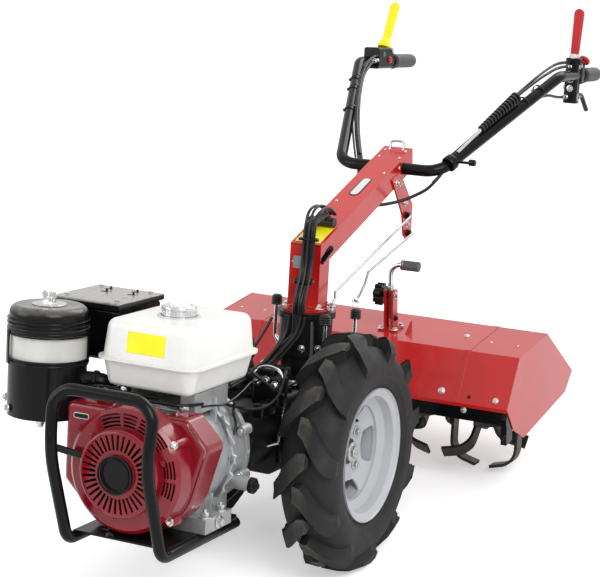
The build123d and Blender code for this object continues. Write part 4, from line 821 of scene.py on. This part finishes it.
# steering column: labels, pins and the loom
columnSetup = {
    "slope": radians(20.8),
    "elbow": (130, 406),  # y and height where the beam starts
    "yellowLabel": (0, 178, 60, 86),  # x, y, width, length
    "ovalPlate": (0, 404, 25, 92),
    "ovalRim": 3,
    "greyPlate": ((-17, 129.4, 364), (27, 22, 1, 2)),
    "rivets": ((-26, 560), (26, 560), (-26, 596), (26, 596), (-24, 330), (24, 480)),
    "plateRivets": ((-29, 129, 364), (-5, 129, 364)),
    "pivot": (37, 540, -14),  # x, y, height over the beam
    "plateBolts": ((580, 462), (600, 410), (520, 515), (541, 512)),
    "plateFace": 41,
    "flangeBolts": (6, 46),
    "flangeTop": (154, 266.4),
    "flangeGap": (38, 124, 184),  # no bolts within this of the middle and between these
    "rodPins": ((590, 432), (604, 388)),
    "pin": ((0, 0), (9, 0), (9, 3), (7.5, 4), (7.5, 9), (6, 10), (0, 10)),
    "handle": ((0, 0), (4.6, 0), (5, 6), (6, 16), (6.8, 44), (6.4, 51), (4, 54), (0, 54.5)),
    "handleFoot": ((47, 121.8, 375.8), (27, -23, 30)),
    "welds": (
        ((-36, 130, 405), (0, 129.6, 405.6), (36, 130, 405)),
        ((-37, 141, 270), (-37.4, 150, 269), (-37, 168, 270)),
        ((37, 141, 270), (37.4, 150, 269), (37, 168, 270)),
        ((-34, 130, 268), (0, 129.4, 268), (34, 130, 268)),
    ),
    "forks": (((60, 154, 271.5), (0.1, 0.5, 1)), ((58, 284, 265.5), (-0.2, 0.4, 1))),
    "cables": ((11, 3.2, 9), (30, 3.4, 2), (34, 2.6, 6), (22, 3, 10)),  # x, radius, how far forward
    "ties": ((97, 330, -0.3), (110, 420, 0)),  # y, height, lean
}


def onBeam(x, y, lift=0):
    slope = columnSetup["slope"]
    foot, height = columnSetup["elbow"]
    return Matrix.Translation((x, y, height + (y - foot) * tan(slope) + lift)) @ Matrix.Rotation(slope, 4, "X")


def makeColumnFittings(setup):
    x, y, width, length = setup["yellowLabel"]
    addPiece("beamLabel", "labelYellow", [(roundedPlate(width, length, 0.8, 3), onBeam(x, y, 0.4))], "column")
    x, y, width, length = setup["ovalPlate"]
    addPiece("ovalRim", "blackSatin", [(roundedPlate(width, length, 1.2, 0.48 * width), onBeam(x, y, 0.5))], "column")
    width, length = width - 2 * setup["ovalRim"], length - 2 * setup["ovalRim"]
    addPiece("ovalPlate", "labelPale", [(roundedPlate(width, length, 1.2, 0.47 * width), onBeam(x, y, 1))], "column")
    spot, size = setup["greyPlate"]
    addPiece("columnPlate", "labelGrey", [(roundedPlate(*size), spot, forward, 90)], "column")

    bolts = [(domeHead(3.4, 2), onBeam(x, y)) for x, y in setup["rivets"]]
    bolts += [(domeHead(1.8, 1.2), spot, forward) for spot in setup["plateRivets"]]
    bolts += [(bolt(8, 4.5, 1.2, 1.5), (setup["plateFace"], y, z), toRight, y) for y, z in setup["plateBolts"]]
    y, z = setup["flangeTop"]
    beside, first, last = setup["flangeGap"]
    for number, turn, across, along in around(*setup["flangeBolts"]):
        if abs(across) > beside or not first < y + along < last:
            bolts.append((bolt(10, 6, 1.6, 3), (across, y + along, z), upward, number * 15))
    x, y, lift = setup["pivot"]
    bolts += [(domeHead(4, 2.4), (side * x, y, onBeam(0, y, lift).translation.z), (side, 0, 0)) for side in (1, -1)]
    addPiece("columnBolts", "zinc", bolts, "column")

    bushes = [(lathe(setup["pin"], 20), (setup["plateFace"], y, z), toRight) for y, z in setup["rodPins"]]
    addPiece("swivelGrip", "plastic",
             bushes + [(lathe(setup["handle"], 20), *setup["handleFoot"])], "column")
    addPiece("columnWelds", "red", [(pipe(points, 2),) for points in setup["welds"]], "column")

    forks = []
    for spot, direction in setup["forks"]:
        forks += [(slab(2.4, 9, 16), spot, direction, 0, (shift, 0, -3)) for shift in (-5, 5)]
        forks += [(slab(12, 9, 3), spot, direction, 0, (0, 0, 5)),
                  (disc(2.6, 16, 0.5, 12), spot, toRight, 0, (0, 0, -8))]
    addPiece("rodForks", "zinc", forks, "column")

    loom = []
    for x, radius, ahead in setup["cables"]:
        loom.append((pipe(((x, 72 - ahead * 0.5, 262), (x, 72 - ahead, 290), (x - 3, 104 - ahead, 342),
                           (x - 4, 112 - ahead, 380), (x - 2, 111 - ahead, 452), (x - 4, 134 - ahead, 478 + ahead),
                           (x - 4, 184, 480 + ahead), (x - 4, 212, 466)), radius, 8),))
    addPiece("columnCables", "rubber", loom, "column")
    addPiece("cableTies", "plastic", [(roundedPlate(46, 22, 6, 9), (16, y, height), (0, tilt, 1))
                                                for y, height, tilt in setup["ties"]], "column")
    print("column fittings made")


makeColumnFittings(columnSetup)

# lower looms, gear lever boots and gearbox fittings
gearboxSetup = {
    "boots": ((-100, 206, 262), (80, 80, 256), (62, 281, 239)),
    "boot": ((0, -12), (11.5, -12), (13, -10), (11, -7), (13.2, -4.5), (11, -2), (13.2, 0.5), (11, 3), (12.6, 5.5),
             (10.5, 8), (8, 11), (0, 11)),
    "looms": ((2, 6, 3.6), (28, 4, 4.2), (36, 0, 3.4), (-6, 2, 4)),  # x, lift, radius
    "singles": (
        ((58, 60, 250), (70, 40, 214), (84, 10, 176), (90, -30, 150), (84, -80, 140), (74, -130, 138)),
        ((-56, 96, 240), (-62, 60, 200), (-70, 20, 168), (-66, -30, 148), (-50, -80, 142)),
    ),
    "lidBolts": ((-46, -84), (46, -84), (-46, 0), (46, 0), (-46, 70), (46, 70)),
    "lidTop": 122.2,
    "clutchBolts": (8, 105),
    "clutch": (-305.8, 35),  # face and height of the middle
    "axleBolts": (122.2, 41),  # face, radius
    "collarBolts": (10, 58.2),
    "collar": (154, 180),
    "sideBolts": ((-60, 60), (30, -24), (120, 84), (210, 60)),
    "sideFace": 70.2,
    "covers": ((-6, -40, 54, 44, 26), (10, 16, 40, 30, 34)),  # x, y, width, length, height
    "lidRibs": ((10, 6, 12, 2), 58, 118, (-70, -30, 10, 50)),  # size, distance out, height, places along
    "sideRibs": ((6, 8, 120, 2), 71, 34, (-90, -46, 60, 104, 150, 196)),
    "clutchRibs": (12, 88),  # count, radius
}


def makeGearboxFittings(setup):
    boots = addPiece("leverBellows", "rubber", [(lathe(setup["boot"], 28), spot) for spot in setup["boots"]])
    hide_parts("lever_boots")

    looms = []
    for x, lift, radius in setup["looms"]:
        route = ((x, 68 - lift, 257), (x, 66 - lift, 226), (x * 0.6 - 8, 48 - lift, 190 + lift),
                 (x * 0.4 - 30, 26 - lift, 146 + 2 * lift), (x * 0.5 - 44, -20, 134 + lift),
                 (x * 0.5 - 48, -70, 134 + lift), (x * 0.5 - 46, -130, 128 + lift))
        looms.append((pipe(route, radius, 8),))
    addPiece("lowerCables", "rubber", looms + [(pipe(route, 3.4, 8),) for route in setup["singles"]])

    bolts = [(bolt(13, 7, 2), (x, y, setup["lidTop"]), upward, x + y) for x, y in setup["lidBolts"]]
    y, z = setup["clutch"]
    face, radius = setup["axleBolts"]
    for number, turn, across, high in around(*setup["clutchBolts"]):
        bolts.append((bolt(13, 8, 2), (across, y, z + high), rearward, number * 11))
        bolts += [(bolt(10, 6, 1.5), (side * face, radius * sin(turn), radius * cos(turn)), (side, 0, 0),
                   number * 7) for side in (1, -1)]
    y, height = setup["collar"]
    bolts += [(bolt(9, 5, 1.5), (across, y + along, height), (cos(turn), sin(turn), 0))
              for number, turn, across, along in around(*setup["collarBolts"], 0)]
    for y, height in setup["sideBolts"]:
        bolts += [(bolt(15, 8, 2.4), (side * setup["sideFace"], y, height), (side, 0, 0), height) for side in (1, -1)]
    addPiece("gearboxBolts", "zinc", bolts)

    black = [(slab(width, length, height, 4, 3), (x, y, 121 + height / 2))
             for x, y, width, length, height in setup["covers"]]
    for size, x, z, places in (setup["lidRibs"], setup["sideRibs"]):
        black += [(slab(*size), (side * x, y, z)) for side in (-1, 1) for y in places]
    black += [(slab(60, 6, 26, 2), (across, -276, setup["clutch"][1] + high), (cos(turn), 0, sin(turn)), 90)
              for number, turn, across, high in around(*setup["clutchRibs"], 0)]
    addPiece("gearboxRibs", "iron", black)
    print("gearbox fittings made")


makeGearboxFittings(gearboxSetup)

# handlebar: ties, buttons, collars and adjusters
barSetup = {
    "armFoot": (128, 566, 545),  # right arm; the left one is its mirror image
    "armRun": (145, 401, 225),
    "ties": ((-1, 0.80), (-1, 0.70), (-1, 0.49), (1, 0.83), (1, 0.70)),  # side and share of the arm
    "tieRadius": 17.4,
    "clamp": ((13.9, -9), (18.5, -9), (19.5, -7), (19.5, 7), (18.5, 9), (13.9, 9), (13.9, -9)),
    "knob": ((0, 0), (7, 0), (8, 2), (8, 14), (6.5, 16), (0, 16)),
    "sleeve": ((150, 618, 590), (160, 645, 608), (177, 690, 643)),
    "redButton": ((0, 0), (9.5, 0), (9.5, 5), (8, 7.5), (4, 8.6), (0, 8.8)),
    "stop": ((0, 0), (7, 0), (7, 6), (14, 8), (15.5, 11), (14, 16), (8, 18.5), (0, 19)),
    "greenButton": ((0, 0), (6.5, 0), (6.5, 3.5), (5, 5), (0, 5.4)),
    "collar": ((0, 0), (13.5, 0), (14, 2), (13, 10), (12, 13), (0, 14)),
    "root": ((0, 0), (17, 0), (18, 5), (15, 14), (11.5, 24), (0, 24.5)),
    "blocks": (
        ((-268, 1071, 780), (48, 84, 8)), ((-268, 1126, 776), (36, 20, 40)), ((265, 1124, 772), (40, 26, 46)),
        ((266, 1102, 806), (38, 26, 18)), ((265, 1101, 726), (30, 26, 10)), ((276, 1132, 794), (16, 22, 20)),
        ((265, 1104, 708), (26, 40, 14)),
    ),
    "adjuster": ((0, 0), (5.5, 0), (5.5, 6), (3.6, 7), (3.6, 20), (5, 21), (5, 27), (2.6, 28), (2.6, 36), (0, 36)),
    "adjusters": (
        ((262, 1087, 792), (0, -1, 0.02)), ((258, 1086, 716), (-0.05, -1, 0)), ((-256, 1025, 776), (0.1, -1, -0.1)),
        ((-248, 1025, 776), (0.1, -1, -0.1)),
    ),
    "bolts": (
        ((282.2, 1102, 796), toRight), ((282.2, 1102, 716), toRight), ((-246, 1108, 801), toRight),
        ((247.8, 1102, 740), toLeft), ((265, 1085.8, 760), forward), ((265, 1085.8, 738), forward),
    ),
    "gripEnd": (265, 1286, 770),
    "gripFoot": (273, 967, 770),
    "gripRing": ((17.6, -2.2), (18.5, -1.6), (18.5, 1.6), (17.6, 2.2), (17.6, -2.2)),
    "gripRings": (16, 11, 9),  # first, step, count
    "gripFlange": ((17, 0), (20.5, 0), (21, 2), (20.5, 4), (17, 4), (17, 0)),
    "leftRoute": ((-254, 1026, 782), (-256, 985, 782), (-242, 900, 742), (-208, 806, 690), (-158, 690, 622),
                  (-104, 604, 560)),
    "rightRoute": ((262, 1086, 800), (258, 1036, 800), (252, 980, 796), (236, 900, 766), (206, 812, 712),
                   (176, 720, 650), (146, 640, 596), (124, 600, 566)),
    "shiftCable": ((117, 559, 520), (124, 568, 529), (130.5, 578, 543), (136, 588, 557)),
}


def makeBarFittings(setup):
    radius = setup["tieRadius"]
    band = ((radius - 1.4, -2.6), (radius, -2.6), (radius, 2.6), (radius - 1.4, 2.6), (radius - 1.4, -2.6))
    ties = []
    for side, share in setup["ties"]:
        mirror = Vector((side, 1, 1))
        run = Vector(setup["armRun"]) * mirror
        spot = (Vector(setup["armFoot"]) + Vector((-3, -1, 2))) * mirror + share * run
        ties += [(lathe(band, 24), spot, run), (slab(7, 6, 7, 1), spot, run, 0, (radius, 0, 0))]
    addPiece("barTies", "plastic", ties + [
        (lathe(setup["clamp"], 28), (145, 590, 567), (0.34, 0.75, 0.5)),
        (disc(3.4, 40, 0.6, 14), (152, 600, 570), toRight),
        (lathe(setup["knob"], 20), (188, 600, 571), toRight),
    ], "handlebar")
    addPiece("shiftSleeve", "chrome", [(pipe(setup["sleeve"], 4.4),)], "handlebar")
    addPiece("stopButtons", "redPlastic", [
        (lathe(setup["redButton"], 24), (-246, 1094, 776), toRight),
        (lathe(setup["stop"], 28), (276, 1138, 800), (0.25, 0.6, 0.76)),
    ], "handlebar")
    button = lathe(setup["greenButton"], 20)
    addPiece("greenButton", "greenPlastic", [(button, (-246, 1056, 790), toRight)], "handlebar")
    addPiece("leverCollar", "labelPale", [(lathe(setup["collar"], 24), (265, 1103, 811), (0, 0.12, 1))], "handlebar")
    addPiece("yellowRoot", "yellow", [(lathe(setup["root"], 24), (-268, 1108, 806), (0, 0.46, 0.89))], "handlebar")
    addPiece("controlBlocks", "plastic", [(slab(*size, 3, 3), spot) for spot, size in setup["blocks"]], "handlebar")
    addPiece("controlBolts", "zinc",
             [(lathe(setup["adjuster"], 16), *place) for place in setup["adjusters"]]
             + [(bolt(9, 5, 1.2), *place, 15) for place in setup["bolts"]], "handlebar")

    rings = []
    first, step, count = setup["gripRings"]
    for side in (1, -1):
        mirror = Vector((side, 1, 1))
        end = Vector(setup["gripEnd"]) * mirror
        run = (end - Vector(setup["gripFoot"]) * mirror).normalized()
        rings += [(lathe(setup["gripRing"], 28), end - run * (first + step * number), run) for number in range(count)]
        rings.append((lathe(setup["gripFlange"], 32), end - run * 116, run))
    addPiece("gripRings", "grip", rings, "handlebar")

    cables = [(pipe([(x + 0.4 * shift, y + 3, z + 0.35 * shift) for x, y, z in setup["leftRoute"]], 2.6, 8),)
              for shift in (-9, 14, 20)]
    cables += [(pipe([(x, y + shift, z + 0.6 * shift) for x, y, z in setup["rightRoute"]], 2.4, 8),)
               for shift in (4, 9)]
    addPiece("barWires", "rubber", cables + [(pipe(setup["shiftCable"], 4.2),)], "handlebar")
    print("handlebar fittings made")


makeBarFittings(barSetup)

# tiller: hood seams and bolts, tine bolts, depth control
tillerSetup = {
    "jointX": 268,
    "line": ((405.5, 232), (481, 333), (674, 333), (878, 174), (826, 135)),  # the last run is the cheek's alone
    "cheekX": 392.6,
    "outward": (0, -0.801, 0.599),  # the hood's front face looks this way
    "frontBolts": ((229.6, 9, 0.176), (361.7, 7.5, 0.143)),  # x, size across, share of the front face
    "topBolts": ((229, 576, 7.2, 4.2), (297, 558, 3.4, 1.6), (362, 558, 3.4, 1.6)),  # x, y, radius, height
    "topHeight": 333.1,
    "sideBolt": (288, 408, 216),
    "edgeBolts": ((384.5, 409, 214), (384.5, 409, 164)),
    "rivet": (297.8, 416.1, 246.1),
    "caseBolts": ((24.2, 560, 140), (24.2, 560, 184), (24.2, 620, 130), (24.2, 636, 176), (24.2, 600, 118)),
    "screwBolts": (54.2, 556, 416, 360),  # x, y, upper and lower height
    "bracketBolts": ((24, 538), (60, 538), (24, 574), (60, 574)),
    "bracketTop": 337.2,
    "collar": ((6.2, 0), (9, 0), (9, 8), (6.2, 8), (6.2, 0)),
    "collarFoot": (42, 556, 430),
    "hub": ((0, 0), (15, 0), (13, 5), (6, 7), (0, 7)),
    "hubFoot": (5.9, 556, 416),
    "sleeve": ((0, 0), (12.4, 0), (12.8, 3), (12.4, 6), (0, 6)),
    "sleeveFoot": (70, 556, 494),
}


def makeTillerFittings(setup):
    seams, edging, bolts, dark = [], [], [], []
    for side in (1, -1):
        for (y0, z0), (y1, z1) in zip(setup["line"], setup["line"][1:-1]):
            turn = Matrix.Rotation(atan2(z1 - z0, y1 - y0), 4, "X") @ Matrix.Translation((0, 0, 0.5))
            spot = (side * setup["jointX"], (y0 + y1) / 2, (z0 + z1) / 2)
            seams.append((slab(12, hypot(y1 - y0, z1 - z0), 1.6, 0.5, 1), Matrix.Translation(spot) @ turn))
        for first, last in zip(setup["line"], setup["line"][1:]):
            rim = [Vector((side * setup["cheekX"], *spot)) for spot in (first, last)]
            edging.append((pipe((rim[0], (rim[0] + rim[1]) / 2, rim[1]), 1.3, 2),))
    addPiece("hoodSeams", "red", seams, place=stand)
    addPiece("hoodEdges", "red", edging, place=stand)

    (y0, z0), (y1, z1) = setup["line"][:2]
    for x, across, share in setup["frontBolts"]:
        bolts += [(bolt(across, 0.45 * across, 1.2), (side * x, y0 + share * (y1 - y0), z0 + share * (z1 - z0)),
                   setup["outward"], x) for side in (1, -1)]
    for side in (1, -1):
        bolts += [(domeHead(radius, height), (side * x, y, setup["topHeight"]), upward)
                  for x, y, radius, height in setup["topBolts"]]
        bolts.append((bolt(8, 5, 1.2), mirrored(setup["sideBolt"], side), forward, 10))
        bolts += [(bolt(10, 6, 1.6), (side * x, y, z), (side, 0, 0), y) for x, y, z in setup["caseBolts"]]
        dark += [(bolt(9, 6, 1.6), mirrored(spot, side), forward, 423) for spot in setup["edgeBolts"]]
        dark.append((domeHead(4.2, 2.6), mirrored(setup["rivet"], side), setup["outward"]))
    bolts += [(bolt(9, 5, 1.2), (x, y, setup["bracketTop"]), upward, x + y) for x, y in setup["bracketBolts"]]
    x, y, upper, lower = setup["screwBolts"]
    bolts += [(bolt(9, 5, 1.2), (x, y, upper), toRight), (lathe(setup["collar"], 20), setup["collarFoot"], upward)]
    dark.append((bolt(8, 5, 1.2), (x, y, lower), toRight))
    addPiece("tillerBolts", "zinc", bolts, place=stand)
    addPiece("darkBolts", "iron", dark, place=stand)
    addPiece("knobHub", "plastic", [(lathe(setup["hub"], 24), setup["hubFoot"], toLeft)], place=stand)
    addPiece("depthCollar", "chrome", [(lathe(setup["sleeve"], 24), setup["sleeveFoot"], toRight)], place=stand)
    print("tiller fittings made")


makeTillerFittings(tillerSetup)

# tine bolts, one pair through each blade's root
bladeTurn = radians(75)
tineSetup = {
    "rotor": (595, 162),
    "rows": 4,
    "blades": 4,
    "first": 43 + 45 * (1 - cos(bladeTurn)) + 30 * sin(bladeTurn),
    "last": 366,
    "startTurn": 37,
    "rowTurn": 45,
    "boltRadii": (37, 51),
    "reach": 3.1,
}


def makeTineBolts(setup):
    y, z = setup["rotor"]
    step = (setup["last"] - setup["first"]) / (setup["rows"] - 1)
    bolts = []
    for row in range(setup["rows"]):
        for number in range(setup["blades"]):
            turn = radians(setup["startTurn"] + 90 * number + setup["rowTurn"] * row)
            outward = -1 if number % 2 == 0 or row == setup["rows"] - 1 else 1
            x = setup["first"] + row * step - outward * setup["reach"]
            bolts += [(bolt(12, 7, 1.5), (side * x, y - radius * sin(turn), z + radius * cos(turn)),
                       (-side * outward, 0, 0), 20 * row) for radius in setup["boltRadii"] for side in (1, -1)]
    addPiece("tineBolts", "tineSteel", bolts, "rotor", stand)
    print("tine bolts made")


makeTineBolts(tineSetup)

# carburettor, governor and spark plug
carburettorSetup = {
    "face": (-152.4, -452, 132),  # middle of its left side
    "bowl": ((0, -16), (12, -16), (15, -13), (15, 0), (18, 2), (18, 5), (15, 6), (0, 6)),
    "fins": (9, -142, 5.5),  # count, first, step
    "fin": (3, 96, 74, 1, 1),
    "screws": ((-11, 17), (11, 17), (-11, -17), (11, -17)),
    "arm": ((4, -24, 34), (40, -26, 36), (92, -30, 30), (140, -34, 38)),
    "spring": (1.3, 1.2, 4, 52),  # pitch, turn, radius, points
    "plateBolts": ((-100, -504.2, 182), (-78, -504.2, 170), (-62, -505.2, 185)),
    "plug": (-192, -380, 94),
    "plugNut": ((0, 0), (9, 0), (9, 7), (6, 8), (6, 12), (0, 12)),
    "plugBoot": ((0, 0), (8.5, 0), (9, 4), (7, 20), (7, 30), (0, 31)),
    "lead": ((-34, 0, 0), (-44, -8, 12), (-40, -40, 44), (10, -74, 62), (60, -84, 40)),
    "blocks": (((16, 10, 12, 2), (-122.4, -486, 172)), ((16, 10, 12, 2), (-88.4, -486, 176)),
               ((16, 10, 12, 2), (-48.4, -486, 170)), ((4, 60, 12, 1), (-124.4, -478, 158)),
               ((30, 8, 22, 2), (-88, -500, 176)), ((18, 14, 10, 2), (-62, -498, 184))),
    "duct": ((-158, -500, 194), (-130, -495, 195), (-112, -478, 188), (-116, -462, 170)),
    "ductClamp": ((14, -3.5), (16.5, -3), (16.5, 3), (14, 3.5), (14, -3.5)),
    "hoseLifts": (0, 7, 15),
}


def makeCarburettorFittings(setup):
    x, y, z = face = setup["face"]
    count, first, step = setup["fins"]
    addPiece("carburettorBody", "aluminium", [
        (slab(10, 34, 46, 3, 3), (x - 3, y, z)),
        (lathe(setup["bowl"], 28), (x + 17, y, z - 40)),
        (disc(6, 12, 1, 18), (x + 19, y - 22, z + 10), forward),
    ] + [(slab(*setup["fin"]), (first - step * number, -380, 94)) for number in range(count)])

    addPiece("governorParts", "zinc", [
        (bolt(6, 3.6, 1), (x - 8.2, y + along, z + high), toLeft, high) for along, high in setup["screws"]
    ] + [(bolt(7, 4, 1.2), spot, forward, spot[0]) for spot in setup["plateBolts"]] + [
        (pipe([Vector(face) + Vector(spot) for spot in setup["arm"]], 1.6),),
        (pipe(coil((x + 30, y - 34, z + 24), *setup["spring"]), 0.7, 1),),
        (lathe(setup["plugNut"], 6), setup["plug"], toLeft),
        (slab(44, 3, 9), (-110, -488, 162)),
    ])

    plug = Vector(setup["plug"])
    duct = setup["duct"]
    hoses = [(pipe(((-140, -512, 168 + lift), (-104, -516, 176 + lift), (-70, -512, 170 + lift),
                    (-30, -500, 172 + 0.4 * lift), (6, -488, 176)), 2.6, 8),) for lift in setup["hoseLifts"]]
    addPiece("sparkLead", "plastic", hoses + built(slab, setup["blocks"]) + [
        (lathe(setup["plugBoot"], 20), plug - Vector((8, 0, 0)), toLeft),
        (pipe([plug + Vector(spot) for spot in setup["lead"]], 3, 8),),
        (pipe(duct, 14),),
        (lathe(setup["ductClamp"], 28), duct[1], (1, 0.2, 0)),
        (lathe(setup["ductClamp"], 28), duct[2], (0.4, 0.6, -0.5)),
    ])
    print("carburettor fittings made")


makeCarburettorFittings(carburettorSetup)

bpy.context.view_layer.update()
